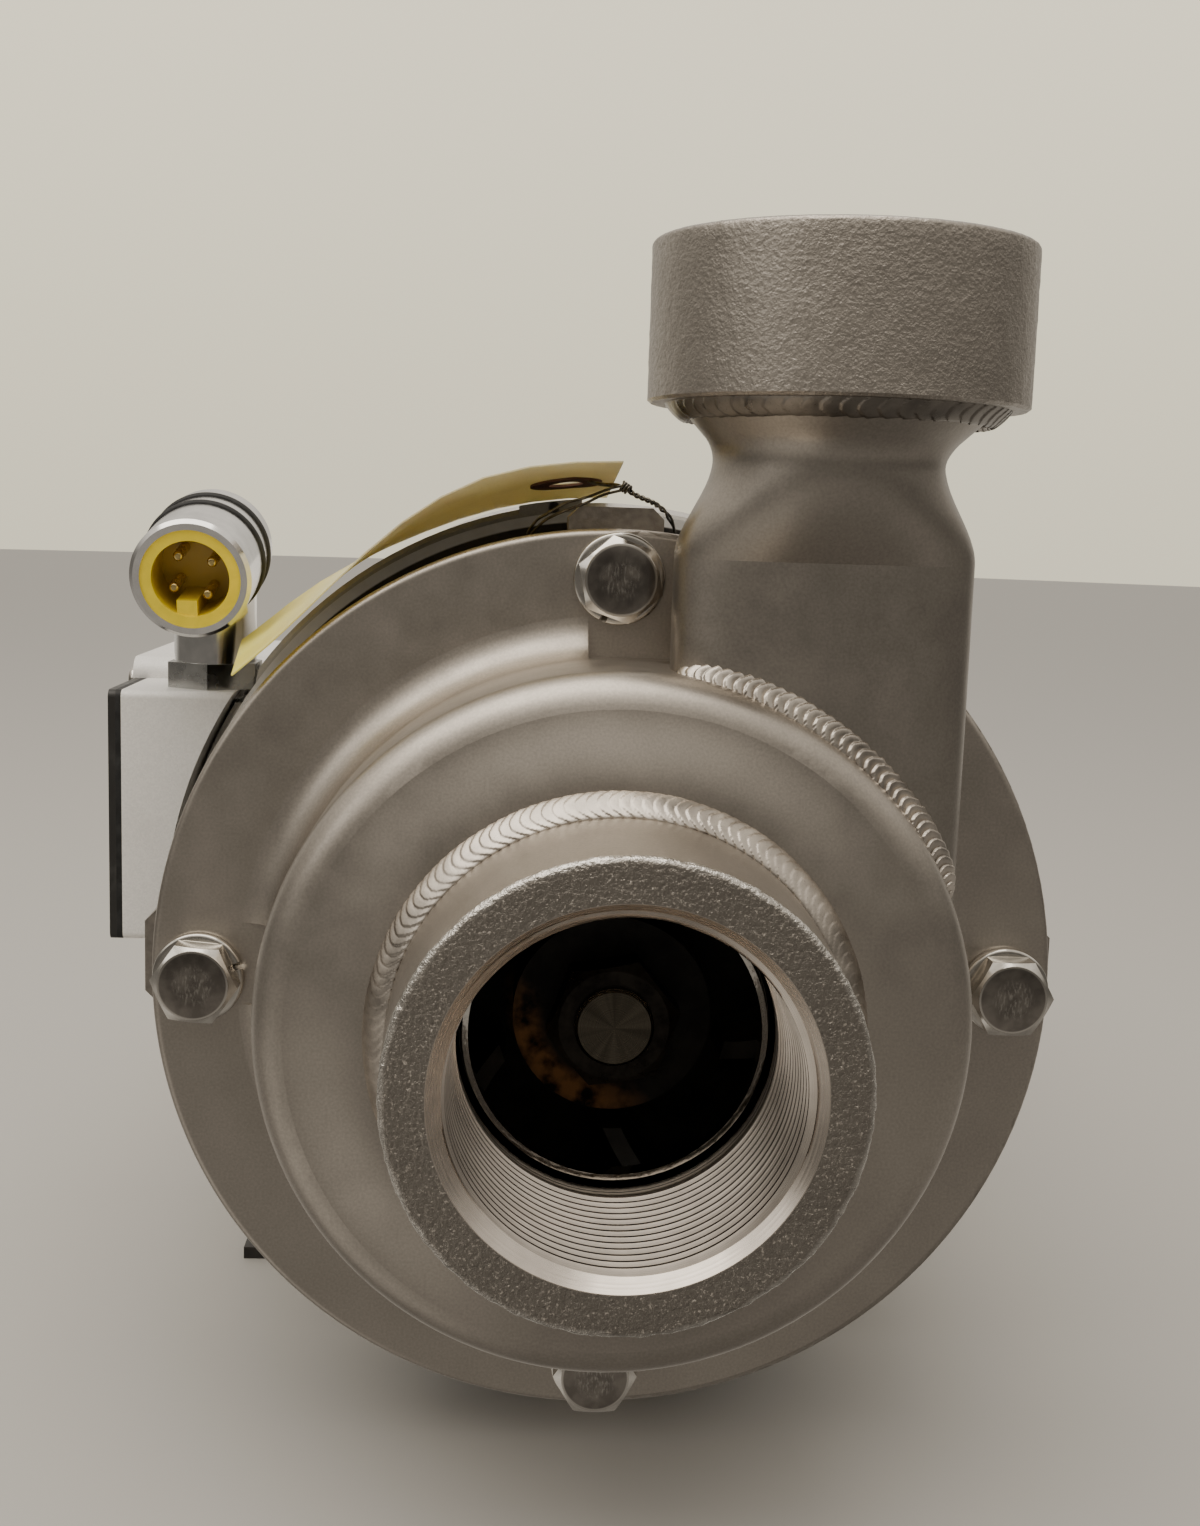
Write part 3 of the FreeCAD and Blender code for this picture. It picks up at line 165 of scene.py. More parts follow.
class Value:
    """What a node gives; plain arithmetic on it adds the node that works the result out."""

    def __init__(self, graph, socket):
        self.graph = graph
        self.socket = socket

    def __add__(self, other):
        return self.graph.maths("ADD", self, other)

    def __radd__(self, other):
        return self.graph.maths("ADD", other, self)

    def __sub__(self, other):
        return self.graph.maths("SUBTRACT", self, other)

    def __rsub__(self, other):
        return self.graph.maths("SUBTRACT", other, self)

    def __mul__(self, other):
        return self.graph.maths("MULTIPLY", self, other)

    def __rmul__(self, other):
        return self.graph.maths("MULTIPLY", other, self)

    def __truediv__(self, other):
        return self.graph.maths("DIVIDE", self, other)

    def __pow__(self, power):
        return self.graph.maths("POWER", self, power)

    def __abs__(self):
        return self.graph.maths("ABSOLUTE", self)

    def __round__(self):
        return self.graph.maths("ROUND", self)

    def __gt__(self, other):
        return self.graph.maths("GREATER_THAN", self, other)

    def __lt__(self, other):
        return self.graph.maths("LESS_THAN", self, other)


class Graph:
    """A node tree that is built up step by step."""

    def __init__(self, tree):
        self.tree = tree

    def node(self, kind, **values):
        made = self.tree.nodes.new(kind)
        for key, value in values.items():
            setattr(made, key, value)
        return made

    def feed(self, socket, value):
        """Gives a socket a number, or links it to what a node gives."""
        if isinstance(value, Value):
            value = value.socket
        if isinstance(value, bpy.types.NodeSocket):
            self.tree.links.new(value, socket)
        else:
            socket.default_value = value

    def feeds(self, node, **values):
        """Feeds a node's sockets by name, with _ for a space."""
        for key, value in values.items():
            self.feed(node.inputs[key.replace("_", " ")], value)

    def worked_out(self, kind, operation, values):
        made = self.node(kind, operation=operation)
        for socket, value in zip(made.inputs, values):
            self.feed(socket, value)
        return made

    def maths(self, operation, *values):
        return Value(self, self.worked_out("ShaderNodeMath", operation, values).outputs[0])

    def larger(self, a, b):
        return self.maths("MAXIMUM", a, b)

    def smaller(self, a, b):
        return self.maths("MINIMUM", a, b)

    def cosine(self, angle):
        return self.maths("COSINE", angle)

    def sine(self, angle):
        return self.maths("SINE", angle)

    def vectors(self, operation, *values):
        made = self.worked_out("ShaderNodeVectorMath", operation, values)
        return Value(self, made.outputs["Value" if operation in ("LENGTH", "DOT_PRODUCT") else "Vector"])

    def scaled(self, vector, factor):
        made = self.node("ShaderNodeVectorMath", operation="SCALE")
        self.feeds(made, Vector=vector, Scale=factor)
        return Value(self, made.outputs["Vector"])

    def joined(self, x, y, z):
        made = self.node("ShaderNodeCombineXYZ")
        self.feeds(made, X=x, Y=y, Z=z)
        return Value(self, made.outputs[0])

    def split(self, vector):
        made = self.node("ShaderNodeSeparateXYZ")
        self.feeds(made, Vector=vector)
        return [Value(self, output) for output in made.outputs]

    def spread(self, value, low, high, to_low=0.0, to_high=1.0, kind="LINEAR"):
        """Takes low..high to to_low..to_high and stops at both ends."""
        made = self.node("ShaderNodeMapRange", interpolation_type=kind)
        self.feeds(made, Value=value, From_Min=low, From_Max=high, To_Min=to_low, To_Max=to_high)
        return Value(self, made.outputs["Result"])

    def blend(self, factor, a, b, kind="MIX"):
        """A colour between a and b; either may be a colour or what a node gives."""
        made = self.node("ShaderNodeMix", data_type="RGBA", blend_type=kind)
        a, b = [(*value, 1) if isinstance(value, tuple) else value for value in (a, b)]
        self.feeds(made, Factor=factor, A=a, B=b)
        return Value(self, made.outputs["Result"])


# %% [markdown]
# ## Studio
# A pale floor under one broad, soft ceiling light, and a weak one on the left. Bare metal shows what
# stands round it, so the room is as much a part of the finish as the material is: a bright ceiling gives
# the long bands on the drum's shoulder, and a dim front keeps the flat faces grey. The pump stood on a
# dark bench, so the metal sees a dim room below, and the pale floor isn't mirrored in it.

# %% Floor and ceiling light


def pale_floor():
    mesh = bpy.data.meshes.new("floor")
    radius, corners = 6.0, 96
    turns = [2 * math.pi * i / corners for i in range(corners)]
    mesh.from_pydata([(radius * math.cos(a), radius * math.sin(a), 0) for a in turns], [], [range(corners)])
    floor = bpy.data.objects.new("floor", mesh)
    bpy.context.scene.collection.objects.link(floor)
    material = bpy.data.materials.new("floor")
    material.use_nodes = True
    shader = material.node_tree.nodes["Principled BSDF"]
    Graph(material.node_tree).feeds(shader, Base_Color=(0.52, 0.505, 0.475, 1), Roughness=0.6)
    mesh.materials.append(material)
    floor.visible_glossy = False
    floor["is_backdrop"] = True


def soft_box(name, location, target, size, power, colour):
    light = bpy.data.lights.new(name, "AREA")
    light.shape = "RECTANGLE"
    light.size, light.size_y = size
    light.energy = power
    light.color = colour
    lamp = bpy.data.objects.new(name, light)
    facing = (Vector(target) - Vector(location)).to_track_quat("-Z", "Y")
    lamp.matrix_world = Matrix.Translation(location) @ facing.to_matrix().to_4x4()
    bpy.context.scene.collection.objects.link(lamp)


pale_floor()
soft_box("ceiling", (-0.45, -0.55, 1.35), (-0.45, -0.56, 0.0), (1.7, 1.3), 16.0, (1.0, 0.94, 0.85))
soft_box("left", (-1.25, -0.95, 0.75), (-0.10, -0.10, 0.14), (0.7, 0.5), 1.0, (1.0, 0.95, 0.88))

# %% [markdown]
# The room itself is the world: a dim front and sides, a lit patch of bench low on the left, a pale wall
# behind, and a ceiling that brightens towards the top. The camera sees only the wall's colour, whichever
# way it looks.

# %% Room
world = bpy.data.worlds.new("room")
bpy.context.scene.world = world
world.use_nodes = True
sky = Graph(world.node_tree)


def rising(value, low, high):
    """Softly from 0 to 1."""
    return sky.spread(value, low, high, kind="SMOOTHSTEP")


direction = sky.node("ShaderNodeTexCoord").outputs["Generated"]
x, y, z = sky.split(direction)
bench_patch = sky.vectors("DOT_PRODUCT", direction, Vector((-0.62, -0.45, -0.64)).normalized())
room = sky.blend(rising(z, -0.85, -0.45), (0.19, 0.173, 0.152), (0.30, 0.275, 0.243))
room = sky.blend(rising(z, -0.45, -0.05), room, (0.135, 0.124, 0.109))
room = sky.blend(rising(x, 0.1, -0.7), room, (1.05, 1.05, 1.05), "MULTIPLY")
room = sky.blend(rising(bench_patch, 0.86, 0.98), room, (0.62, 0.575, 0.51))
room = sky.blend(rising(y, 0.35, 0.85), room, (0.62, 0.58, 0.51))
room = sky.blend(rising(z, 0.06, 0.62), room, (0.86, 0.80, 0.715))
wall = sky.blend(rising(z, -0.1, 0.35), (0.98, 0.905, 0.68), (1.34, 1.22, 0.92))
camera_ray = sky.node("ShaderNodeLightPath").outputs["Is Camera Ray"]
sky.feeds(world.node_tree.nodes["Background"], Color=sky.blend(camera_ray, room, wall), Strength=1.0)
print("lights:", sum(o.type == "LIGHT" for o in bpy.data.objects), "and a room")

# %% [markdown]
# ## Small tools for finishes
# Every finish reads Object coordinates, so its grain keeps its real size and stays put when the piece
# turns. A finish is a base colour with slow mottling, a roughness that varies, and a bump for the
# grain that a fingertip would feel.

# %% Finish


class Finish(Graph):
    """A material that is built up node by node."""

    def __init__(self, name, metallic=0.0, specular=0.5, coat=0.0, coat_roughness=0.1):
        self.material = bpy.data.materials.new(name)
        self.material.use_nodes = True
        super().__init__(self.material.node_tree)
        self.shader = self.tree.nodes["Principled BSDF"]
        self.feeds(self.shader, Metallic=metallic, Specular_IOR_Level=specular, Coat_Weight=coat,
                   Coat_Roughness=coat_roughness)
        self.where = self.node("ShaderNodeTexCoord").outputs["Object"]
        self.normal = None

    def about(self, centre=PUMP_AXIS, scale=(1, 1, 1)):
        """Millimetres about a centre, stretched where the grain runs along an axis."""
        moved = self.vectors("SUBTRACT", self.where, tuple(centre))
        return self.vectors("MULTIPLY", moved, tuple(1000.0 * s for s in scale))

    def coordinates(self):
        """Millimetres about the pump axis, as three numbers."""
        return self.split(self.about())

    def radius(self, centre=PUMP_AXIS, keep=(1, 0, 1)):
        """Distance in millimetres from an axis, by default the pump's own."""
        return self.vectors("LENGTH", self.about(centre, keep))

    def noise(self, grain, detail=3.0, roughness=0.55, vector=None, distortion=0.0):
        """Noise whose features are about grain millimetres across."""
        made = self.node("ShaderNodeTexNoise")
        self.feeds(made, Vector=vector or self.about(), Scale=1.0 / grain, Detail=detail, Roughness=roughness,
                   Distortion=distortion)
        return Value(self, made.outputs["Fac"])

    def rings(self, distance, grain):
        """Noise along one number, such as the distance from an axis."""
        made = self.node("ShaderNodeTexNoise", noise_dimensions="1D")
        self.feeds(made, W=distance, Scale=1.0 / grain, Detail=2.0)
        return Value(self, made.outputs["Fac"])

    def flakes(self, grain):
        """Cells of about grain millimetres, each with its own tone."""
        made = self.node("ShaderNodeTexVoronoi", feature="F1")
        self.feeds(made, Vector=self.about(), Scale=1.0 / grain)
        return Value(self, made.outputs["Color"])

    def clouded(self, noise, low, high, a, b):
        """A colour that wanders from a to b as the noise goes from low to high."""
        return self.blend(self.spread(noise, low, high), a, b)

    def colour(self, value):
        self.feeds(self.shader, Base_Color=value)

    def rough(self, value):
        self.feeds(self.shader, Roughness=value)

    def rough_by(self, noise, low, high):
        """A roughness that wanders with the noise."""
        self.rough(self.spread(noise, 0.3, 0.7, low, high))

    def bump(self, value, height, strength=1.0):
        """Adds relief of about height millimetres over what is there already."""
        made = self.node("ShaderNodeBump")
        self.feeds(made, Strength=strength, Distance=height * MM, Height=value)
        if self.normal:
            self.feeds(made, Normal=self.normal)
        self.normal = made.outputs["Normal"]
        self.feeds(self.shader, Normal=self.normal)


def tinted(factor, tone):
    """A tone made brighter or darker."""
    return tuple(factor * v for v in tone)


def dress(material, *names):
    for name in names:
        mesh = nodes[name].data
        mesh.materials.clear()
        mesh.materials.append(material)


# %% [markdown]
# ## Stainless steel
# Three kinds are on this pump. The drum and the neck are blasted with fine beads: even, satin, warm
# grey. The two fittings are castings with a pebbled skin that is darker in its pits and rubbed bright
# on its rims. What a lathe has cut is bright, with rings round its own axis.

# %% Blasted and cast steel
EYE_HOLE_RADIUS = 28.4
INNER_SHEET_Y = -35.9
DISH_INNER_RADIUS = 43.0
DISH_OUTER_RADIUS = 60.5
DISH_DEPTH = 3.2


def shades(*values):
    """Warm greys of stainless steel, from their brightness."""
    return [(v, 0.915 * v, 0.81 * v) for v in values]


def mottled(name, dark, light, rough, grain, relief, span=(0.35, 0.65), **shader):
    """The plainest finish: two tones, a roughness and a relief that follow one noise."""
    finish = Finish(name, **shader)
    cloud = finish.noise(grain, detail=4)
    finish.colour(finish.clouded(cloud, *span, dark, light))
    finish.rough_by(cloud, *rough)
    finish.bump(cloud, relief, 0.4)
    return finish.material


def blasted_steel(name, tone=1.0, dished=False):
    """Bead-blasted sheet; a dished face leans outwards a little, as a spun drum's end does."""
    steel = Finish(name, metallic=1.0)
    mottle = steel.noise(28, detail=4)
    smear = steel.noise(9, detail=3)
    grain = steel.noise(0.5, detail=2)
    dark, light, pit, peak = shades(0.42 * tone, 0.52 * tone, 0.36 * tone, 0.58 * tone)
    speckle = steel.clouded(grain, 0.3, 0.7, pit, peak)
    colour = steel.blend(0.4, steel.clouded(mottle, 0.35, 0.65, dark, light), speckle)
    steel.rough_by(smear, 0.34, 0.43)
    if dished:
        y = steel.coordinates()[1]
        behind = steel.spread(y, DRUM_FACE_Y + 0.2, DRUM_FACE_Y + 0.6)
        inside_hole = steel.spread(steel.radius(), EYE_HOLE_RADIUS - 0.2, EYE_HOLE_RADIUS + 0.2, 1.0, 0.0)
        # Inside the eye hole, behind the drum's face, the near-black tone is painted shade; the bright tone on the
        # inner sheet is the hole's machined wall.
        painted_shade_off_ring = steel.spread(abs(y - INNER_SHEET_Y), 0.1, 0.3)
        edge = steel.blend(painted_shade_off_ring, (0.06, 0.055, 0.05), (0.75, 0.68, 0.605))
        colour = steel.blend(inside_hole * behind, colour, edge)
        dish = steel.spread(steel.radius(), DISH_INNER_RADIUS, DISH_OUTER_RADIUS, 1.0, 0.0, "SMOOTHSTEP")
        steel.bump(dish, DISH_DEPTH)
    steel.colour(colour)
    steel.bump(grain, 0.03, 0.35)
    return steel.material


def cast_steel(name, tone, pebbles, relief, painted_glints=1.5, rim_bright=None):
    """A pebbled casting; its rim, given as a centre, an axis mask, a radius and a width, is rubbed bright."""
    steel = Finish(name, metallic=1.0)
    pebble = steel.noise(pebbles, detail=3, roughness=0.6)
    fine = steel.noise(0.45 * pebbles, detail=2)
    mottle = steel.noise(8, detail=3)
    pit, low, high, painted_glint = shades(0.8 * tone, 0.94 * tone, 1.06 * tone, painted_glints * tone)
    colour = steel.clouded(mottle, 0.3, 0.7, low, high)
    colour = steel.clouded(pebble, 0.3, 0.55, pit, colour)
    # Bright flecks on the fine noise's peaks are a painted highlight.
    colour = steel.clouded(fine, 0.6, 0.72, colour, painted_glint)
    rough = steel.spread(pebble, 0.35, 0.65, 0.46, 0.32)
    if rim_bright:
        centre, keep, radius, width = rim_bright
        wander = (steel.noise(3.5, detail=3) - 0.5) * 1.6
        near = steel.radius(centre, keep) + wander
        edge = steel.spread(near, radius - width, radius - 0.25 * width)
        colour = steel.blend(edge, colour, (0.66, 0.63, 0.58))
        rough = steel.maths("MULTIPLY_ADD", edge, -0.16, rough)
    steel.colour(colour)
    steel.rough(rough)
    steel.bump(pebble, relief * pebbles, 0.75)
    steel.bump(fine, 0.25 * relief * pebbles, 0.6)
    return steel.material


def turned_steel(name, tone=(0.60, 0.58, 0.545), groove=0.18, rough=(0.16, 0.3), centre=PUMP_AXIS, keep=(1, 0, 1)):
    """Steel fresh off a lathe: fine rings round an axis."""
    steel = Finish(name, metallic=1.0)
    rings = steel.rings(steel.radius(centre, keep), groove)
    mottle = steel.noise(6, detail=3)
    steel.colour(steel.clouded(mottle, 0.3, 0.7, tinted(0.8, tone), tone))
    steel.rough_by(rings, *rough)
    steel.bump(rings, 0.01, 0.5)
    return steel.material


DISCHARGE_AXIS = place(DISCHARGE_X, DISCHARGE_Y, 0)
drum_steel = blasted_steel("blasted_drum", dished=True)
# The neck's lower tone is painted shade; it is the same blasted steel as the drum.
neck_steel = blasted_steel("blasted_neck", 0.86)
hub_steel = blasted_steel("blasted_hub", 0.95)
suction_steel = cast_steel("cast_suction", 0.33, 1.15, 0.55, 2.4, (PUMP_AXIS, (1, 0, 1), SUCTION_RIM_RADIUS, 1.2))
discharge_steel = cast_steel("cast_discharge", 0.46, 0.8, 0.32, 1.2)
bore_steel = turned_steel("turned_bore", (0.75, 0.68, 0.605), 0.25, (0.22, 0.36))
top_steel = turned_steel("turned_top", centre=DISCHARGE_AXIS, keep=(1, 1, 0))
dress(drum_steel, "casing")
dress(hub_steel, "seal_plate")
dress(neck_steel, "discharge_neck")
print("stainless finishes:", drum_steel.name, neck_steel.name, suction_steel.name, bore_steel.name)

# %% [markdown]
# ## Recipes for shapes that follow a rule
# A thread, a rippled weld bead and a row of like screws all follow a rule, so each is a Geometry Nodes
# tree with named sizes. The result is turned into a plain mesh at once, because an exported model
# holds no instances and no modifiers.

# %% Recipe


class Recipe(Graph):
    """A Geometry Nodes tree whose inputs have names."""

    def __init__(self, name):
        super().__init__(bpy.data.node_groups.new(name, "GeometryNodeTree"))
        self.tree.interface.new_socket("Geometry", in_out="INPUT", socket_type="NodeSocketGeometry")
        self.tree.interface.new_socket("Geometry", in_out="OUTPUT", socket_type="NodeSocketGeometry")
        self.inputs = self.node("NodeGroupInput")

    def take(self, *names, kind="Float"):
        """Adds named inputs and returns their values."""
        for name in names:
            self.tree.interface.new_socket(name, in_out="INPUT", socket_type="NodeSocket" + kind)
        return [Value(self, self.inputs.outputs[name]) for name in names]

    def made(self, kind, choices=None, **values):
        """A geometry node with its sockets fed by name."""
        node = self.node(kind, **(choices or {}))
        self.feeds(node, **values)
        return Value(self, node.outputs[0])

    def attribute(self, name, kind="FLOAT"):
        """What the host's points know under a name."""
        node = self.node("GeometryNodeInputNamedAttribute", data_type=kind)
        self.feeds(node, Name=name)
        return Value(self, node.outputs[0])

    def noise(self, position, seed, scale, detail):
        node = self.node("ShaderNodeTexNoise", noise_dimensions="4D")
        self.feeds(node, Vector=position, W=seed, Scale=scale, Detail=detail)
        return Value(self, node.outputs[0])

    def grid(self, along, across):
        """A unit sheet; returns it with its two running values, each from 0 to 1."""
        sheet = self.made("GeometryNodeMeshGrid", Size_X=1.0, Size_Y=1.0, Vertices_X=along, Vertices_Y=across)
        x, y = self.split(self.node("GeometryNodeInputPosition").outputs[0])[:2]
        return sheet, x + 0.5, y + 0.5

    def pick(self, row, first, *steps):
        """A value by row number: first, then each (row, value) from that row on."""
        total, before = first, first
        for start, value in steps:
            past = row > start - 0.5
            total = self.maths("MULTIPLY_ADD", past, value - before, total)
            before = value
        return total

    def round_about(self, radius, angle, height):
        """A point from its distance to Z, its angle and its height."""
        return self.joined(radius * self.cosine(angle), radius * self.sine(angle), height)

    def wrapped(self, sheet, point):
        """Moves the sheet's points to where they belong and closes its seams and poles."""
        bent = self.made("GeometryNodeSetPosition", Geometry=sheet, Position=point)
        return self.made("GeometryNodeMergeByDistance", Geometry=bent, Distance=2e-6)

    def turned_sheet(self, around, rows, profile):
        """A closed lathe shape about Z; profile(row, angle) gives the radius and height of a point."""
        sheet, u, v = self.grid(around + 1, rows)
        row = round(v * (rows - 1.0))
        angle = u * (2 * math.pi)
        radius, height = profile(row, angle)
        return self.wrapped(sheet, self.round_about(radius, angle, height))

    def seated(self, shape):
        """A copy of the shape on each point of the host, turned as the point says."""
        copies = self.made("GeometryNodeInstanceOnPoints", Points=self.inputs.outputs[0], Instance=shape,
                           Rotation=self.attribute("turn", "FLOAT_VECTOR"))
        spin = self.joined(0.0, 0.0, self.attribute("spin"))
        return self.made("GeometryNodeRotateInstances", Instances=copies, Rotation=spin)

    def finish(self, geometry):
        """Every tree ends with Realize Instances and Set Material."""
        real = self.made("GeometryNodeRealizeInstances", Geometry=geometry)
        material, = self.take("Finish", kind="Material")
        dressed = self.made("GeometryNodeSetMaterial", Geometry=real, Material=material)
        self.feed(self.node("NodeGroupOutput").inputs[0], dressed)


def tidy_mesh(mesh, sharp_degrees=35.0, merge=1e-7):
    """Closes seams, points the faces outwards, and shades smoothly except at true edges."""
    work = bmesh.new()
    work.from_mesh(mesh)
    bmesh.ops.remove_doubles(work, verts=work.verts, dist=merge)
    bmesh.ops.dissolve_degenerate(work, edges=work.edges, dist=merge)
    bmesh.ops.recalc_face_normals(work, faces=work.faces)
    for face in work.faces:
        face.smooth = True
    work.to_mesh(mesh)
    work.free()
    mesh.set_sharp_from_angle(angle=math.radians(sharp_degrees))


def add_piece(name, mesh, body="pump_body", stands_for=()):
    """Gives a finished mesh to the pump."""
    piece = bpy.data.objects.new(name, mesh)
    bpy.context.scene.collection.objects.link(piece)
    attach(piece, body)
    if stands_for:
        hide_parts(*stands_for)
    print(name, len(mesh.polygons), "faces")
    return piece


def host_mesh(name, points, edges, **known):
    """A mesh for a recipe to start from; its points know a value under each name."""
    mesh = bpy.data.meshes.new(name)
    mesh.from_pydata(points, edges, [])
    for key, values in known.items():
        if isinstance(values[0], float):
            mesh.attributes.new(key, "FLOAT", "POINT").data.foreach_set("value", values)
        else:
            flat = [number for value in values for number in value]
            mesh.attributes.new(key, "FLOAT_VECTOR", "POINT").data.foreach_set("vector", flat)
    return mesh


def cook(name, recipe, values, host=None, placing=None):
    """Runs a recipe on a host mesh and returns the plain mesh that it makes."""
    holder = bpy.data.objects.new(name + "_host", host or bpy.data.meshes.new(name + "_host"))
    bpy.context.scene.collection.objects.link(holder)
    modifier = holder.modifiers.new("recipe", "NODES")
    modifier.node_group = recipe.tree
    for item in recipe.tree.interface.items_tree:
        if item.in_out == "INPUT" and item.name in values:
            modifier[item.identifier] = values[item.name]
    graph = bpy.context.evaluated_depsgraph_get()
    mesh = bpy.data.meshes.new_from_object(holder.evaluated_get(graph), preserve_all_data_layers=True, depsgraph=graph)
    mesh.name = name
    bpy.data.objects.remove(holder)
    if placing:
        mesh.transform(placing)
    return mesh


# %% [markdown]
# ## Pipe threads
# Both ports are tapered pipe threads cut inside a thick fitting. A solid thread in CAD is slow and heavy,
# so the solid has a plain bore and the thread is made here: a sheet wrapped round the bore, whose rows
# climb by one pitch in each turn and move in and out as a sharp V. The mouth's chamfer cuts the first
# turns away, as it does on the real fitting, and a plain wall behind closes the shell.

# %% Thread recipe


def pipe_thread():
    recipe = Recipe("pipe_thread")
    mouth, crest, depth, pitch = recipe.take("Mouth radius", "Crest radius", "Thread depth", "Pitch")
    length, taper, wall = recipe.take("Threaded length", "Taper", "Wall radius")
    around, per_turn = recipe.take("Steps around", "Rows in a turn", kind="Int")
    turns = length / pitch + 2.0
    rows = recipe.maths("CEIL", turns * per_turn) + 4.0
    sheet, u, v = recipe.grid(around + 1, rows)
    row = round(v * (rows - 1.0))
    turn = (row - 1.0) / per_turn
    climb = pitch * (turn - 1.0 + u)
    z = recipe.smaller(recipe.larger(climb, 0.0), length)
    tooth = abs(recipe.maths("FRACT", turn) * 2.0 - 1.0)
    tooth = recipe.spread(tooth, 0.34, 0.94)
    land = crest - taper * z
    cut = land + depth * tooth
    chamfer = mouth - z
    # Past the last turn the thread runs out into the wall.
    relief = recipe.maths("MULTIPLY_ADD", length - z, -4.0, wall)
    radius = recipe.larger(cut, recipe.larger(chamfer, relief))
    # The first row and the last two are the plain wall behind the thread.
    first = row < 0.5
    after = rows - row
    last_two = after < 2.5
    last = after < 1.5
    behind = recipe.larger(first, last_two)
    radius = radius * (1.0 - behind) + wall * behind
    z = z * (1.0 - last)
    recipe.finish(recipe.wrapped(sheet, recipe.round_about(radius, u * (2 * math.pi), z)))
    return recipe


def into(x, y, z, quarter_turns):
    """Stands a shape that was made about Z at a place, turned about X."""
    return Matrix.Translation(place(x, y, z)) @ Matrix.Rotation(quarter_turns * math.pi / 2, 4, "X")


thread_recipe = pipe_thread()
THREAD_DEPTH = 1.55
WALL_GAP = 0.1
DISCHARGE_THREAD_LENGTH = 22.0
INTO_SUCTION = into(0, SUCTION_FACE_Y, 0, -1)
INTO_DISCHARGE = into(DISCHARGE_X, DISCHARGE_Y, DISCHARGE_TOP_Z, 2)
suction_sizes = {"Mouth radius": SUCTION_MOUTH_RADIUS * MM, "Crest radius": SUCTION_CREST_RADIUS * MM,
                 "Thread depth": THREAD_DEPTH * MM, "Pitch": PIPE_PITCH * MM,
                 "Threaded length": SUCTION_THREAD_LENGTH * MM, "Taper": PIPE_TAPER,
                 "Wall radius": (SUCTION_MOUTH_RADIUS - WALL_GAP) * MM,
                 "Steps around": 200, "Rows in a turn": 8, "Finish": bore_steel}
discharge_sizes = {**suction_sizes, "Mouth radius": DISCHARGE_MOUTH_RADIUS * MM,
                   "Crest radius": DISCHARGE_CREST_RADIUS * MM, "Threaded length": DISCHARGE_THREAD_LENGTH * MM,
                   "Wall radius": (DISCHARGE_MOUTH_RADIUS - WALL_GAP) * MM, "Steps around": 160, "Finish": top_steel}
suction_thread = cook("suction_thread", thread_recipe, suction_sizes, placing=INTO_SUCTION)
discharge_thread = cook("discharge_thread", thread_recipe, discharge_sizes, placing=INTO_DISCHARGE)
for mesh in (suction_thread, discharge_thread):
    tidy_mesh(mesh)
    add_piece(mesh.name, mesh)

# %% [markdown]
# ## Cast fittings
# Each fitting is a heavy ring: as cast outside, so its rim is lumpy and its end is pebbled, and machined
# only where the pipe screws in. A lathe profile gives the body, and low noise pushes the rim about.

# %% Rings with a cast skin


def arc_points(centre, radius, first, last, count):
    """Points of an arc in the profile's plane; degrees, 0 is outwards and 90 is along the axis."""
    points = []
    for i in range(count + 1):
        angle = math.radians(first + (last - first) * i / count)
        points.append((centre[0] + radius * math.cos(angle), centre[1] + radius * math.sin(angle)))
    return points


def between(start, end, step):
    count = max(1, round(math.dist(start, end) / step))
    return [tuple(a + (b - a) * i / count for a, b in zip(start, end)) for i in range(1, count)]


def fitting_profile(mouth, radius, rounding, corners, steps, tail):
    """From the mouth across the face, over the rim and down the side; the tail leads back inside to the mouth."""
    edge, centre = (mouth, 0.0), (radius - rounding, rounding)
    rim = arc_points(centre, rounding, -90, 0, corners)
    face = between(edge, (radius - rounding, 0.0), steps[0])
    return [edge] + face + rim + between(rim[-1], tail[0], steps[1]) + tail


def lathe_skin(name, profile, placing, steps, material, lumps=lambda r, h: 0.0):
    """Turns a closed profile of (radius, height) about Z; lumps(r, h) says how far noise may push it."""
    work = bmesh.new()
    rings = []
    for r, h in profile:
        reach = lumps(r, h)
        ring = []
        for i in range(steps):
            angle = 2 * math.pi * i / steps
            spot = Vector((r * math.cos(angle), r * math.sin(angle), h))
            radius = r + reach * (noise.noise(spot / 2.3) + 0.6 * noise.noise(spot / 0.9))
            height = h + 0.7 * reach * abs(noise.noise(spot / 1.7 + Vector((9, 4, 2))))
            ring.append(work.verts.new((radius * math.cos(angle) * MM, radius * math.sin(angle) * MM, height * MM)))
        rings.append(ring)
    for ring, following in zip(rings, rings[1:] + rings[:1]):
        for i in range(steps):
            j = (i + 1) % steps
            work.faces.new((ring[i], ring[j], following[j], following[i]))
    mesh = bpy.data.meshes.new(name)
    work.to_mesh(mesh)
    work.free()
    mesh.transform(placing)
    mesh.materials.append(material)
    tidy_mesh(mesh)
    return mesh


# %% The suction fitting
SUCTION_LENGTH = DRUM_FACE_Y - SUCTION_FACE_Y
thread_wall = SUCTION_MOUTH_RADIUS - WALL_GAP
tail = [(SUCTION_ROOT_RADIUS, SUCTION_LENGTH), (thread_wall, SUCTION_LENGTH), (thread_wall, WALL_GAP)]
suction_profile = fitting_profile(SUCTION_MOUTH_RADIUS, SUCTION_RIM_RADIUS, 1.1, 5, (0.8, 3.0), tail)


def suction_lumps(r, h):
    """Strongest on the rim, weak on the face, none on the blasted side."""
    rim_distance = math.hypot(r - SUCTION_RIM_RADIUS + 0.4, h - 0.4)
    strength = 0.34 * max(0.0, 1 - rim_distance / 1.6)
    on_face = 0.07 if h < 0.2 and SUCTION_MOUTH_RADIUS + 0.6 < r else 0.0
    return max(strength, on_face)


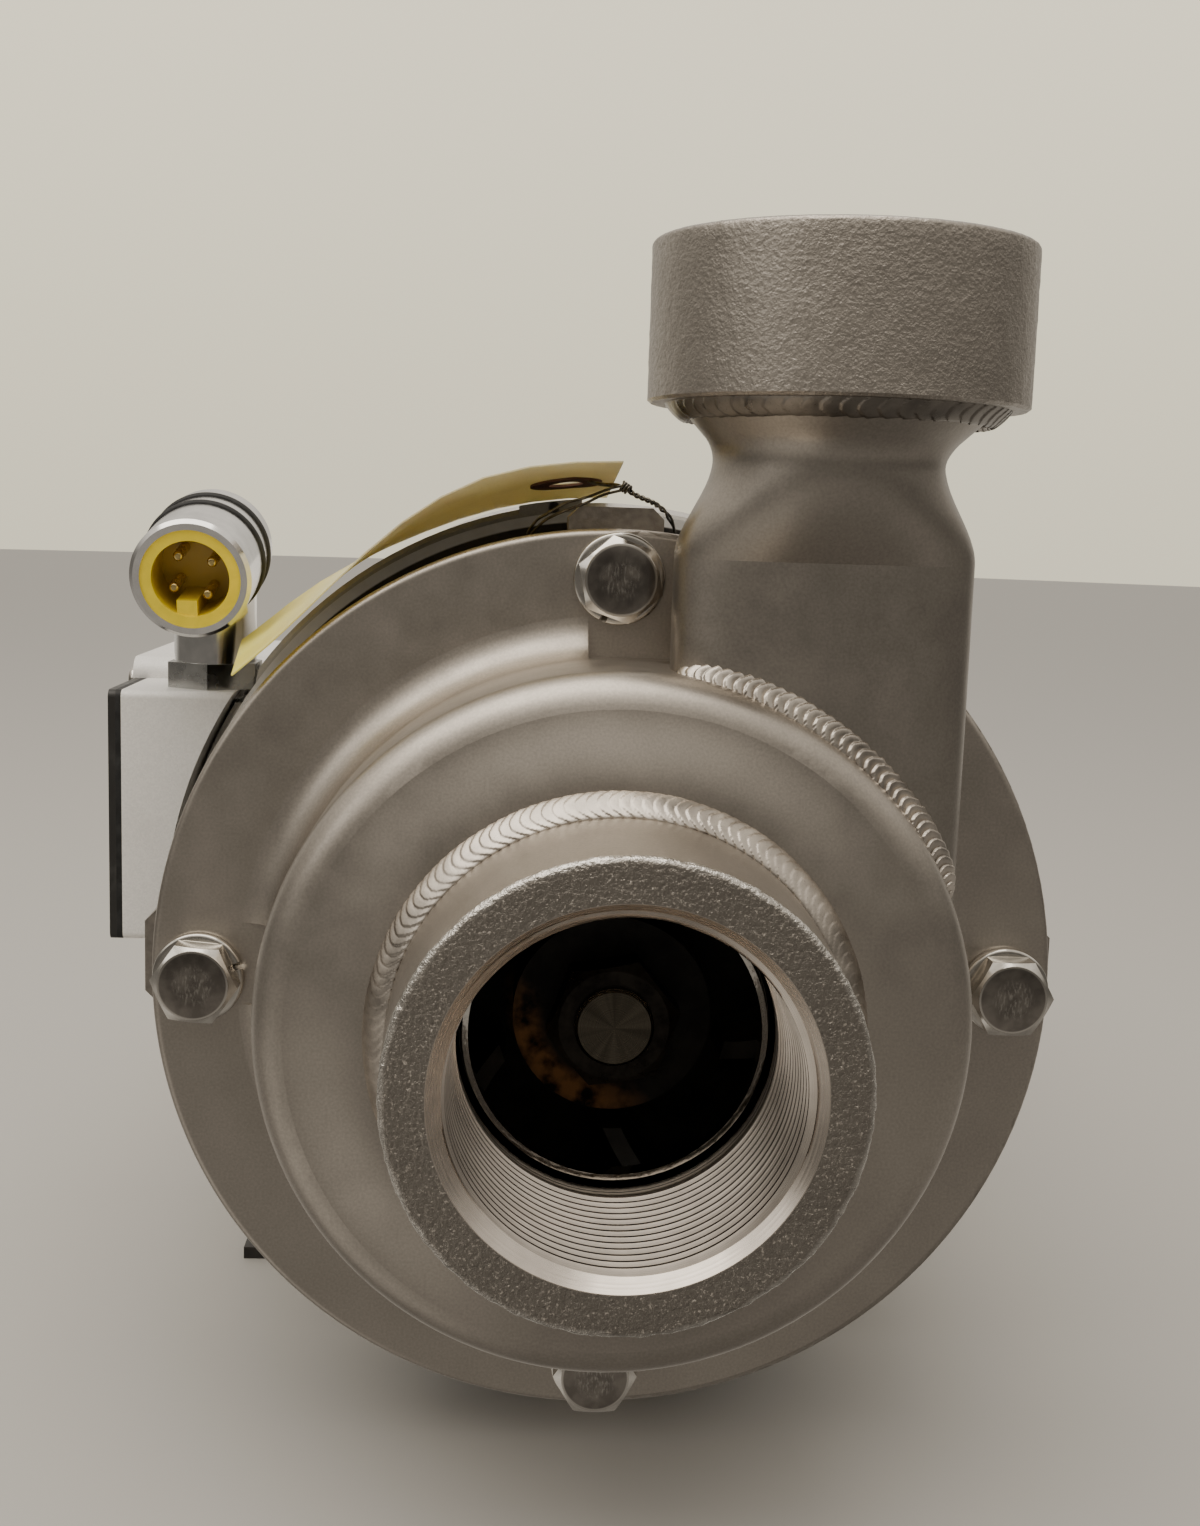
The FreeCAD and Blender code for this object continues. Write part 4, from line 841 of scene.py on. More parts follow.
def finish_beyond(skin, axis, limit, material):
    """Gives the faces past a plane a finish of their own; the limit is in millimetres in the frame."""
    skin.materials.append(material)
    for polygon in skin.polygons:
        if polygon.center[axis] > limit * MM:
            polygon.material_index = 1


suction_skin = lathe_skin("suction_port", suction_profile, INTO_SUCTION, 420, suction_steel, suction_lumps)
finish_beyond(suction_skin, 1, SUCTION_FACE_Y + FLANGE_Y + 1.6, hub_steel)
add_piece("suction_port", suction_skin, stands_for=["suction_fitting"])

# %% The discharge fitting
DISCHARGE_LENGTH = DISCHARGE_TOP_Z - DISCHARGE_FOOT_Z
DISCHARGE_BORE_RADIUS = 22.6
thread_wall = DISCHARGE_MOUTH_RADIUS - WALL_GAP
tail = [(DISCHARGE_RADIUS, DISCHARGE_LENGTH - 0.5), (DISCHARGE_RADIUS - 0.6, DISCHARGE_LENGTH),
        (DISCHARGE_BORE_RADIUS, DISCHARGE_LENGTH), (DISCHARGE_BORE_RADIUS, DISCHARGE_THREAD_LENGTH),
        (thread_wall, DISCHARGE_THREAD_LENGTH), (thread_wall, WALL_GAP)]
discharge_profile = fitting_profile(DISCHARGE_MOUTH_RADIUS, DISCHARGE_RADIUS, 0.9, 4, (1.0, 1.6), tail)


def discharge_lumps(r, h):
    return 0.10 if r > DISCHARGE_RADIUS - 1.2 else 0.0


discharge_skin = lathe_skin("discharge_port", discharge_profile, INTO_DISCHARGE, 320, discharge_steel,
                            discharge_lumps)
finish_beyond(discharge_skin, 2, DISCHARGE_TOP_Z + AXIS_HEIGHT - 0.35, top_steel)
add_piece("discharge_port", discharge_skin, stands_for=["discharge_fitting"])

# %% [markdown]
# ## Weld beads
# The three joints were welded by hand with a torch that paused and moved on, which leaves a row of
# overlapping crescents. The recipe wraps a sheet into a flat tube along a path. Its upper half is pushed
# up and down by a saw wave, and the wave is bowed across the bead, which bends each step into a crescent.

# %% Bead recipe


def weld_bead():
    recipe = Recipe("weld_bead")
    width, height, sunk = recipe.take("Width", "Height", "Sunk depth")
    ripple, relief, bow = recipe.take("Ripple length", "Ripple relief", "Bow")
    uneven, taper, seed, fading = recipe.take("Unevenness", "End taper", "Seed", "Fading")
    across_steps, per_ripple = recipe.take("Steps across", "Steps in a ripple", kind="Int")
    path = recipe.made("GeometryNodeMeshToCurve", Mesh=recipe.inputs.outputs[0])
    length = recipe.made("GeometryNodeCurveLength", Curve=path)
    count = round(length / ripple)
    along = count * per_ripple + 1.0
    sheet, u, v = recipe.grid(along, across_steps + 1)
    rail = recipe.node("GeometryNodeSampleCurve", data_type="FLOAT_VECTOR", mode="FACTOR")
    recipe.feeds(rail, Curves=path, Value=recipe.attribute("lean", "FLOAT_VECTOR"), Factor=u)
    middle = rail.outputs["Position"]
    outward = recipe.vectors("NORMALIZE", rail.outputs["Value"])
    sideways = recipe.vectors("NORMALIZE", recipe.vectors("CROSS_PRODUCT", rail.outputs["Tangent"], outward))
    angle = v * (2 * math.pi)
    side, rise = recipe.cosine(angle), recipe.sine(angle)
    sway = (recipe.noise(middle, seed, 160.0, 2.0) - 0.5) * uneven
    bowed = bow * (side * side)
    saw = recipe.maths("FRACT", u * count + (bowed + sway * 0.8))
    kept = recipe.spread(recipe.noise(middle, seed, 42.0, 1.0), 0.4, 0.56, 1.0 - fading, 1.0)
    relief = relief * kept
    step = 1.0 - relief * saw ** 1.6
    from_end = recipe.smaller(u, 1.0 - u) * length
    share = recipe.smaller((from_end + 1e-6) / recipe.larger(taper, 1e-9), 1.0)
    swell = recipe.maths("SQRT", share * (2.0 - share))
    size = swell * (1.0 + sway)
    above = height * step * size
    upper = rise > 0.0
    lift = upper * above + (1.0 - upper) * sunk
    edge = 1.0 - relief * saw * 0.35
    half = width * 0.5 * (size * edge)
    point = recipe.vectors("ADD", middle, recipe.scaled(sideways, side * half))
    point = recipe.vectors("ADD", point, recipe.scaled(outward, lift * rise))
    recipe.finish(recipe.wrapped(sheet, point))
    return recipe


def bead_path(name, points, closed):
    """A line whose points know which way the bead's top leans."""
    count = len(points)
    edges = [(i, (i + 1) % count) for i in range(count if closed else count - 1)]
    places, leans = zip(*points)
    return host_mesh(name, places, edges, lean=leans)


def welded_steel(name, tone=1.0):
    """Bead metal: brighter than the plate, with straw and grey bands left by the heat."""
    steel = Finish(name, metallic=1.0)
    heat = steel.noise(5, detail=4)
    fine = steel.noise(0.35, detail=3)
    grey, bright, speck = shades(0.46 * tone, 0.74 * tone, 0.36 * tone)
    tone = steel.clouded(heat, 0.35, 0.65, grey, bright)
    steel.colour(steel.clouded(fine, 0.6, 0.8, tone, speck))
    steel.rough_by(heat, 0.26, 0.4)
    steel.bump(fine, 0.05, 0.4)
    return steel.material


# %% Three beads
# Each line is a little off the corner that it fills, so that the bead's foot is buried in both pieces.
bead_recipe = weld_bead()
weld_steel = welded_steel("weld_metal")
LEG_MIDDLE = 2.0
suction_points = []
for degrees in range(0, -360, -2):
    outward = Vector((math.cos(math.radians(degrees)), -1.0, math.sin(math.radians(degrees))))
    on_line = polar(SUCTION_ROOT_RADIUS - 0.1 + LEG_MIDDLE, degrees, DRUM_FACE_Y - LEG_MIDDLE + 0.3)
    suction_points.append((on_line, outward))
bead_sizes = {"Width": 6.0 * MM, "Height": 0.65 * MM, "Sunk depth": 1.6 * MM, "Ripple length": 1.9 * MM,
              "Ripple relief": 0.3, "Bow": -1.4, "Unevenness": 0.2, "End taper": 0.0, "Seed": 3.0, "Fading": 0.75,
              "Steps across": 56, "Steps in a ripple": 10, "Finish": weld_steel}
suction_bead = cook("suction_bead", bead_recipe, bead_sizes, bead_path("suction_line", suction_points, True))

NECK_X = 35.2
NECK_HALF_WIDTH = 26.6
NECK_HALF_THICK = 13.0
NECK_SQUARENESS = 2.8
NECK_BEAD_START = 81.5
NECK_BEAD_TURN = 60.0
NECK_BEAD_POINTS = 25
neck_points = []
for i in range(NECK_BEAD_POINTS):
    degrees = NECK_BEAD_START - NECK_BEAD_TURN * i / (NECK_BEAD_POINTS - 1)
    cosine, sine = math.cos(math.radians(degrees)), math.sin(math.radians(degrees))
    x = (DRUM_RADIUS + 0.9) * cosine
    inner = 1 - abs((x - NECK_X) / NECK_HALF_WIDTH) ** NECK_SQUARENESS
    front = DISCHARGE_Y - NECK_HALF_THICK * max(0.0, inner) ** (1 / NECK_SQUARENESS)
    neck_points.append((polar(DRUM_RADIUS + 0.6, degrees, front - 0.4), Vector((0.5 * cosine, -1.0, 0.5 * sine))))
neck_sizes = {**bead_sizes, "Width": 6.6 * MM, "Height": 1.7 * MM, "Sunk depth": 1.8 * MM, "Ripple relief": 0.5,
              "Bow": -1.5, "Unevenness": 0.34, "End taper": 9 * MM, "Steps in a ripple": 12, "Seed": 11.0,
              "Fading": 0.35}
neck_bead = cook("neck_bead", bead_recipe, neck_sizes, bead_path("neck_line", neck_points, False))

DISCHARGE_BEAD_RADIUS = 28.6
DISCHARGE_BEAD_Z = DISCHARGE_FOOT_Z - 1.3
discharge_points = []
for degrees in range(0, 360, 3):
    cosine, sine = math.cos(math.radians(degrees)), math.sin(math.radians(degrees))
    on_line = place(DISCHARGE_X + DISCHARGE_BEAD_RADIUS * cosine, DISCHARGE_Y + DISCHARGE_BEAD_RADIUS * sine,
                    DISCHARGE_BEAD_Z)
    discharge_points.append((on_line, Vector((cosine, sine, -1.0))))
# The discharge bead's darker weld metal is painted shade under the outlet.
discharge_sizes = {**bead_sizes, "Width": 5.0 * MM, "Height": 0.5 * MM, "Ripple length": 3.1 * MM,
                   "Ripple relief": 0.4, "Bow": -0.6, "Unevenness": 0.45, "Seed": 5.0, "Fading": 0.6,
                   "Finish": welded_steel("dark_weld_metal", 0.42)}
discharge_line = bead_path("discharge_line", discharge_points, True)
discharge_bead = cook("discharge_bead", bead_recipe, discharge_sizes, discharge_line)
for mesh, node in ((suction_bead, "suction_weld"), (neck_bead, "neck_weld"), (discharge_bead, "discharge_weld")):
    tidy_mesh(mesh, 180)
    add_piece(mesh.name, mesh, stands_for=[node])

# %% [markdown]
# ## Fasteners
# Four hex bolts hold the drum, each on a split washer, and small recessed screws hold the boxes and the
# fan cover. Every kind is one shape repeated, so each is a recipe: a sheet is wrapped into the shape, and
# a copy goes on each seat. A seat is a loose point that knows its screw's direction and its spin.

# %% Seats


def seats(name, places):
    points, turns, spins = zip(*places)
    return host_mesh(name, points, [], turn=turns, spin=[math.radians(spin) for spin in spins])


FACING_FRONT = (math.pi / 2, 0, 0)
FACING_LEFT = (0, -math.pi / 2, 0)

# %% [markdown]
# A hex head narrows to a turned crown: its six corners fall away under the cone of the chamfer.

# %% Bolt recipe


def hex_bolt():
    """A hex head with a turned crown, on its shank; z is 0 on the seat."""
    recipe = Recipe("hex_bolt")
    flats, crown, head = recipe.take("Across flats", "Crown radius", "Head height")
    edge, shank, length = recipe.take("Edge round", "Shank radius", "Shank length")

    def profile(row, angle):
        sixth = recipe.maths("PINGPONG", angle + math.pi / 6, math.pi / 6)
        side = flats * 0.5 / recipe.cosine(sixth)
        inner = crown * 0.5
        brim = crown - edge
        soft = recipe.maths("MULTIPLY_ADD", edge, -0.3, crown)
        drop = recipe.larger(side - crown, 0.0) * 0.55
        low = head - (drop + edge)
        radius = recipe.pick(row, 0.0, (1, inner), (2, brim), (3, soft), (4, crown), (5, side), (6, side),
                             (7, side * 0.985), (8, shank), (10, 0.0))
        eased = [recipe.maths("MULTIPLY_ADD", edge, share, head) for share in (-0.2, -0.7)]
        height = recipe.pick(row, head, (3, eased[0]), (4, eased[1]), (5, low), (6, head * 0.05), (7, 0.0),
                             (9, length * -1.0))
        return radius, height

    recipe.finish(recipe.seated(recipe.turned_sheet(96, 11, profile)))
    return recipe


# %% [markdown]
# A split washer is one turn of square wire whose two ends almost meet. The sheet's first and last rows
# shrink to a point each, which closes both ends.

# %% Split washer recipe


def split_washer():
    """A ring of rounded square wire with a slanted gap; it ends in flat faces."""
    recipe = Recipe("split_washer")
    inner, outer, thick = recipe.take("Inner radius", "Outer radius", "Thickness")
    gap, slant = recipe.take("Gap angle", "Gap slant")
    around, section = 74, 28
    sheet, u, v = recipe.grid(around, section + 1)
    step = round(u * (around - 1.0))
    past_start = step > 0.5
    inside = past_start * (step < around - 1.5)
    along = recipe.spread(step, 1.0, around - 2.0)
    turn = v * (2 * math.pi)

    def squared(value):
        size = abs(value) ** 0.42
        return size * recipe.maths("SIGN", value) * inside

    across, up = squared(recipe.cosine(turn)), squared(recipe.sine(turn))
    middle = (inner + outer) * 0.5
    radius = recipe.maths("MULTIPLY_ADD", across, (outer - inner) * 0.5, middle)
    height = up * (thick * 0.5)
    angle = recipe.maths("MULTIPLY_ADD", along, 2 * math.pi - gap, gap * 0.5)
    angle = recipe.maths("MULTIPLY_ADD", up * slant, 0.5, angle)
    recipe.finish(recipe.seated(recipe.wrapped(sheet, recipe.round_about(radius, angle, height))))
    return recipe


# %% [markdown]
# A small screw has a domed head, and the cross recess is sunk into the dome: each arm is where one of the
# two directions across the head is close to nothing.

# %% Screw recipe


def pan_screw():
    """A domed head with a cross recess, on its shank; z is 0 on the seat."""
    recipe = Recipe("pan_screw")
    head, height, recess = recipe.take("Head radius", "Head height", "Recess depth")
    shank, length = recipe.take("Shank radius", "Shank length")
    top_rows = 16

    def profile(row, angle):
        share = recipe.smaller(row / float(top_rows), 1.0)
        top = head * share
        fall = share ** 5.0 * 0.55
        dome = height * (1.0 - fall)
        x = abs(share * recipe.cosine(angle))
        y = abs(share * recipe.sine(angle))
        thin, long = recipe.smaller(x, y), recipe.larger(x, y)
        in_arm = recipe.spread(thin, 0.09, 0.16, 1.0, 0.0)
        arm = in_arm * recipe.spread(long, 0.5, 0.62, 1.0, 0.0)
        depth = recess * recipe.spread(long, 0.0, 0.62, 1.0, 0.55)
        dome = dome - arm * depth
        radius = recipe.pick(row, top, (top_rows + 1, head), (top_rows + 2, shank), (top_rows + 4, 0.0))
        z = recipe.pick(row, dome, (top_rows + 1, 0.0), (top_rows + 3, length * -1.0))
        return radius, z

    recipe.finish(recipe.seated(recipe.turned_sheet(64, top_rows + 5, profile)))
    return recipe


# %% [markdown]
# The heads in front are stainless: bright on their sides and turned crowns. Their flat tops are painted darker, a
# painted reflection of the dim room, and are brushed in the middle. The finish measures each flat top from its own
# bolt's centre, so it folds the four bolts onto one.

# %% Bolts and washers
BOLT_TOP_Y = -7.6
BOLT_CIRCLE_RADIUS = 78.0
FLAT_TOP_RADIUS = 6.25
WASHER_TOP_Y = -2.2


def bolt_steel(name, top_y=None):
    steel = Finish(name, metallic=1.0)
    smear = steel.noise(3.2, detail=4)
    colour = steel.clouded(smear, 0.35, 0.65, (0.62, 0.59, 0.54), (0.86, 0.83, 0.77))
    rough = steel.spread(smear, 0.3, 0.7, 0.13, 0.22)
    if top_y is not None:
        x, y, z = steel.coordinates()
        top = steel.spread(y, top_y + 0.04, top_y + 0.1, 1.0, 0.0)
        x, z = abs(x), abs(z)
        along = steel.larger(x, z) - BOLT_CIRCLE_RADIUS
        from_centre = steel.vectors("LENGTH", steel.joined(along, 0.0, steel.smaller(x, z)))
        brushed = steel.noise(0.42, detail=3, vector=steel.vectors("MULTIPLY", steel.about(), (1.0, 0.0, 0.3)))
        middle = steel.spread(from_centre, 2.8, 4.4, 1.0, 0.0)
        # The flat top's dark tone is a painted reflection of the dim room; the lighter brushed marks in its middle are
        # the bolt's own.
        scale = steel.clouded(smear, 0.4, 0.62, (0.22, 0.20, 0.18), (0.31, 0.285, 0.255))
        scale = steel.blend(steel.spread(brushed, 0.5, 0.66) * middle, scale, (0.5, 0.475, 0.43))
        scale = steel.clouded(from_centre, FLAT_TOP_RADIUS - 0.1, FLAT_TOP_RADIUS + 0.1, scale, (0.62, 0.59, 0.54))
        colour = steel.blend(top, colour, scale)
        rough = steel.maths("MULTIPLY_ADD", top * middle, 0.12, rough)
        steel.bump(brushed * (top * middle), 0.03, 0.6)
    steel.colour(colour)
    steel.rough(rough)
    steel.bump(steel.noise(1.1, detail=3), 0.02, 0.3)
    return steel.material


def washer_steel(name):
    steel = Finish(name, metallic=1.0)
    turned = steel.noise(0.5, detail=3)
    smear = steel.noise(4, detail=3)
    steel.colour(steel.clouded(smear, 0.3, 0.7, (0.55, 0.525, 0.48), (0.76, 0.73, 0.675)))
    steel.rough_by(smear, 0.12, 0.2)
    steel.bump(turned, 0.01, 0.3)
    return steel.material


bolt_finish = bolt_steel("bolt_heads", BOLT_TOP_Y)
washer_finish = washer_steel("split_washers")
bolt_places, washer_places = [], []
for degrees, corner, gap in ((0, 0, 194), (90, 41, 246), (180, 55, 15), (270, 0, 130)):
    bolt_places.append((polar(BOLT_CIRCLE_RADIUS, degrees, WASHER_TOP_Y), FACING_FRONT, corner))
    washer_places.append((polar(BOLT_CIRCLE_RADIUS, degrees, WASHER_TOP_Y / 2), FACING_FRONT, gap))
bolt_sizes = {"Across flats": 14.3 * MM, "Crown radius": 6.7 * MM, "Head height": 5.4 * MM, "Edge round": 0.22 * MM,
              "Shank radius": 4.7 * MM, "Shank length": 28.2 * MM, "Finish": bolt_finish}
flange_bolts = cook("flange_bolts", hex_bolt(), bolt_sizes, seats("bolt_seats", bolt_places))
washer_sizes = {"Inner radius": 4.95 * MM, "Outer radius": 8.65 * MM, "Thickness": 2.2 * MM, "Gap angle": 0.17,
                "Gap slant": 0.12, "Finish": washer_finish}
split_washers = cook("split_washers", split_washer(), washer_sizes, seats("washer_seats", washer_places))
for mesh, node, sharp in ((flange_bolts, "casing_bolts", 20), (split_washers, "casing_lock_washers", 40)):
    tidy_mesh(mesh, sharp)
    add_piece(mesh.name, mesh, stands_for=[node])
dress(washer_finish, "preload_washer")
dress(bolt_steel("zinc_bolts"), "adapter_bolts", "through_bolts", "seal_retainer", "box_nipple")

# %% [markdown]
# The small screws sit on the left side of the two boxes and round the fan cover.

# %% Small screws
COVER_FACE_X = -104.7
LID_FACE_X = -105.5
SHROUD_RADIUS = 93.5
SHROUD_SCREW_Y = 234.5
screw_recipe = pan_screw()
screw_finish = bolt_steel("screw_heads")
lid_corners = ((75.5, -3.5), (128.5, -3.5), (75.5, 49), (128.5, 49))
cover_seats = [(place(COVER_FACE_X, 56, z), FACING_LEFT, spin) for z, spin in ((45, 20), (5, 65))]
lid_seats = [(place(LID_FACE_X, y, z), FACING_LEFT, 31 * i) for i, (y, z) in enumerate(lid_corners)]
shroud_seats = [(polar(SHROUD_RADIUS, degrees, SHROUD_SCREW_Y), (0, math.radians(90 - degrees), 0), 17 * degrees)
                for degrees in (45, 135, 225, 315)]
screw_groups = (("cover_screws", "junction_cover_screws", 2.2, 2.0, 7.5, cover_seats),
                ("lid_screws", "terminal_cover_screws", 3.0, 2.0, 5.0, lid_seats),
                ("shroud_screws", "fan_cover_screws", 3.4, 1.5, 6.0, shroud_seats))
for name, node, head_radius, head_height, length, places in screw_groups:
    values = {"Head radius": head_radius * MM, "Head height": head_height * MM,
              "Recess depth": 0.62 * head_height * MM, "Shank radius": 1.5 * MM, "Shank length": length * MM,
              "Finish": screw_finish}
    mesh = cook(name, screw_recipe, values, seats(name + "_seats", places))
    tidy_mesh(mesh, 40)
    add_piece(name, mesh, stands_for=[node])

# %% [markdown]
# ## Inside the eye
# The wheel is a closed impeller. Little light gets down the suction port, so everything in it is painted nearly black,
# a painted shade, except the turned lip round its eye. The end of the shaft, which a lathe faced, is painted a dim
# grey, also painted shade, with rings and a painted sheen that runs out from the centre like the spokes of a fan.

# %% Impeller, nut and shaft
LIP_INNER_RADIUS = 25.2
LIP_OUTER_RADIUS = 27.6
LIP_FRONT_Y = -27.4


def wheel_steel(name):
    """Nearly black, a painted shade; bare metal shows on the turned lip, and a painted reflection in a warm brown lies
    on the lower left round the nut.
    """
    steel = Finish(name, specular=0.12)
    mottle = steel.noise(5, detail=4)
    distance = steel.radius()
    x, y, z = steel.coordinates()
    # The near-black tones are painted shade.
    dark = steel.clouded(mottle, 0.35, 0.65, (0.007, 0.006, 0.005), (0.018, 0.016, 0.013))
    lip_inner = steel.spread(distance, LIP_INNER_RADIUS, LIP_INNER_RADIUS + 0.5)
    lip_outer = steel.spread(distance, LIP_OUTER_RADIUS - 0.4, LIP_OUTER_RADIUS, 1.0, 0.0)
    front = steel.spread(y, LIP_FRONT_Y, LIP_FRONT_Y + 0.4, 1.0, 0.0)
    lip = lip_inner * lip_outer * front
    # A warm brown patch on the lower left round the nut is a painted reflection.
    warm_painted_reflection = steel.spread(distance, 12, 14) * steel.spread(distance, 17, 20, 1.0, 0.0)
    warm_painted_reflection = warm_painted_reflection * steel.spread(x + z, -20, -8, 1.0, 0.0)
    dark = steel.blend(warm_painted_reflection * steel.spread(mottle, 0.4, 0.6), dark, (0.22, 0.11, 0.045))
    steel.colour(steel.blend(lip, dark, (0.96, 0.93, 0.87)))
    steel.rough(steel.spread(lip, 0, 1, 0.42, 0.1))
    steel.feeds(steel.shader, Metallic=steel.larger(lip, warm_painted_reflection))
    steel.bump(mottle, 0.25, 0.4)
    return steel.material


def shaft_steel(name, tone):
    steel = Finish(name, metallic=1.0)
    distance = steel.radius()
    rings = steel.rings(distance, 0.22)
    x, y, z = steel.coordinates()
    # The tone that wanders with the angle round the end's centre is a painted sheen.
    spoke = steel.maths("ARCTAN2", z, x)
    fan = steel.rings(spoke * 2.0, 0.9)
    steel.colour(steel.clouded(fan, 0.35, 0.65, tinted(0.6, tone), tone))
    steel.rough_by(rings, 0.2, 0.36)
    steel.bump(rings, 0.02, 0.6)
    return steel.material


dress(wheel_steel("impeller_steel"), "impeller")
# The shaft's dim tone is painted shade inside the eye.
dress(shaft_steel("shaft_steel", (0.125, 0.11, 0.085)), "motor_shaft")
# The nut and key are painted near black, a painted shade inside the eye.
nut_steel = mottled("nut_steel", (0.015, 0.013, 0.011), (0.038, 0.034, 0.029), (0.24, 0.4), 3, 0.1, metallic=1.0)
dress(nut_steel, "impeller_nut", "impeller_key")

# %% [markdown]
# ## Paint
# Motor, boxes and fan cover carry one coat of silver paint: fine flakes, a faint orange peel, and patches of dust. The
# adapter and the foot are brush painted, nearly black, over rough cast iron, and the small cover is smooth black
# enamel.

# %% Paints


def silver_paint(name, tone=(0.97, 0.955, 0.92)):
    paint = Finish(name, metallic=0.02, specular=0.5, coat=0.15, coat_roughness=0.2)
    flakes = paint.flakes(0.35)
    peel = paint.noise(1.8, detail=2)
    dust = paint.noise(14, detail=5)
    flake = paint.clouded(flakes, 0.2, 0.9, tinted(0.9, tone), tone)
    paint.colour(paint.blend(paint.spread(dust, 0.5, 0.75, 0.0, 0.25), flake, (0.66, 0.63, 0.585)))
    paint.rough_by(dust, 0.3, 0.45)
    paint.bump(peel, 0.05, 0.25)
    return paint.material


LUG_RADIUS = 82.4
LUG_END_Y = 29.5
FOOT_FRONT_Y = 43.7
SPRAYED_RADIUS = 88.35


def dark_paint(name, tone=(0.022, 0.019, 0.016), cast=0.35, bare_lugs=False):
    """Brushed on by hand; the adapter's four lugs are bare, and its foot's rim is sprayed with the motor."""
    paint = Finish(name, specular=0.45)
    rough_cast = paint.noise(2.4, detail=4)
    wear = paint.noise(9, detail=5)
    colour = paint.blend(paint.spread(wear, 0.55, 0.75, 0.0, 0.6), tone, tinted(3.2, tone))
    rough = paint.spread(wear, 0.3, 0.7, 0.3, 0.5)
    if bare_lugs:
        y = paint.coordinates()[1]
        outside_ring = paint.spread(paint.radius(), LUG_RADIUS - 0.2, LUG_RADIUS + 0.2)
        bare = outside_ring * paint.spread(y, LUG_END_Y - 0.5, LUG_END_Y + 0.5, 1.0, 0.0)
        dark, light = shades(0.34, 0.46)
        colour = paint.blend(bare, colour, paint.clouded(paint.noise(1.8, detail=5), 0.35, 0.65, dark, light))
        rough = paint.maths("MULTIPLY_ADD", 0.38 - rough, bare, rough)
        paint.feeds(paint.shader, Metallic=bare)
        on_foot = paint.spread(y, FOOT_FRONT_Y - 0.1, FOOT_FRONT_Y + 0.1)
        rim = on_foot * paint.spread(paint.radius(), SPRAYED_RADIUS - 0.15, SPRAYED_RADIUS + 0.15)
        sprayed = paint.clouded(wear, 0.4, 0.7, (0.92, 0.90, 0.86), (0.80, 0.78, 0.74))
        colour = paint.blend(rim, colour, sprayed)
    paint.colour(colour)
    paint.rough(rough)
    paint.bump(rough_cast, cast, 0.5)
    return paint.material


motor_paint = silver_paint("silver_paint")
dress(motor_paint, "motor_frame", "rear_end_bell", "terminal_box", "terminal_cover", "junction_box")
# The front end bell's darker silver is painted shade; it is the motor's own silver paint.
dress(silver_paint("bell_paint", (0.60, 0.58, 0.54)), "front_end_bell")
dress(silver_paint("cover_paint", (0.80, 0.785, 0.75)), "fan_cover")
dress(dark_paint("adapter_paint", bare_lugs=True), "adapter")
dress(dark_paint("base_paint"), "mounting_base")
dress(dark_paint("black_enamel", (0.03, 0.029, 0.027), 0.05), "junction_cover")

# %% [markdown]
# ## Rubber, plastics and the plated connector
# The connector is a plated barrel with two rubber rings and a yellow moulding inside. Rubber is matt and
# slightly bloomed; moulded plastic has a soft gloss and a trace of flow lines.

# %% Connector finishes


def rubber(name, tone=(0.018, 0.018, 0.018)):
    finish = Finish(name, specular=0.35)
    bloom = finish.noise(3, detail=5)
    finish.colour(finish.blend(finish.spread(bloom, 0.45, 0.7, 0.0, 0.7), tone, tinted(2.6, tone)))
    finish.rough_by(bloom, 0.45, 0.65)
    finish.bump(finish.noise(0.4, detail=2), 0.02, 0.4)
    return finish.material


def plated(name, tone, rough):
    finish = Finish(name, metallic=1.0)
    haze = finish.noise(5, detail=4)
    finish.colour(finish.clouded(haze, 0.35, 0.65, tinted(0.84, tone), tone))
    finish.rough_by(haze, *rough)
    finish.bump(finish.noise(1.6, detail=3), 0.015, 0.3)
    return finish.material


CONNECTOR_X = -84.5
CONNECTOR_MOUTH_Y = 26.0
CONNECTOR_MOUTH_Z = 74.3
CONNECTOR_RADIUS = 12.2
CONNECTOR_TILT = math.radians(12.0)
INTO_CONNECTOR = (Matrix.Translation(place(CONNECTOR_X, CONNECTOR_MOUTH_Y, CONNECTOR_MOUTH_Z))
                  @ Matrix.Rotation(CONNECTOR_TILT - math.pi / 2, 4, "X"))


def moulded(name, tone, coat, rough, shade=None):
    """Moulded plastic; deep in a socket its colour goes towards the shade tone, a painted shade."""
    finish = Finish(name, coat=coat, coat_roughness=0.15)
    flow = finish.noise(4, detail=3, distortion=0.6)
    colour = finish.clouded(flow, 0.3, 0.7, tinted(0.86, tone), tone)
    if shade:
        # The darker tone deeper in the socket is painted shade.
        from_mouth = finish.about(place(CONNECTOR_X, CONNECTOR_MOUTH_Y, CONNECTOR_MOUTH_Z))
        inward = (0.0, math.cos(CONNECTOR_TILT), math.sin(CONNECTOR_TILT))
        depth = finish.vectors("DOT_PRODUCT", from_mouth, inward)
        colour = finish.clouded(depth, 0.6, 3.2, colour, shade)
    finish.colour(colour)
    finish.rough_by(flow, *rough)
    finish.bump(finish.noise(0.6, detail=2), 0.01, 0.3)
    return finish.material


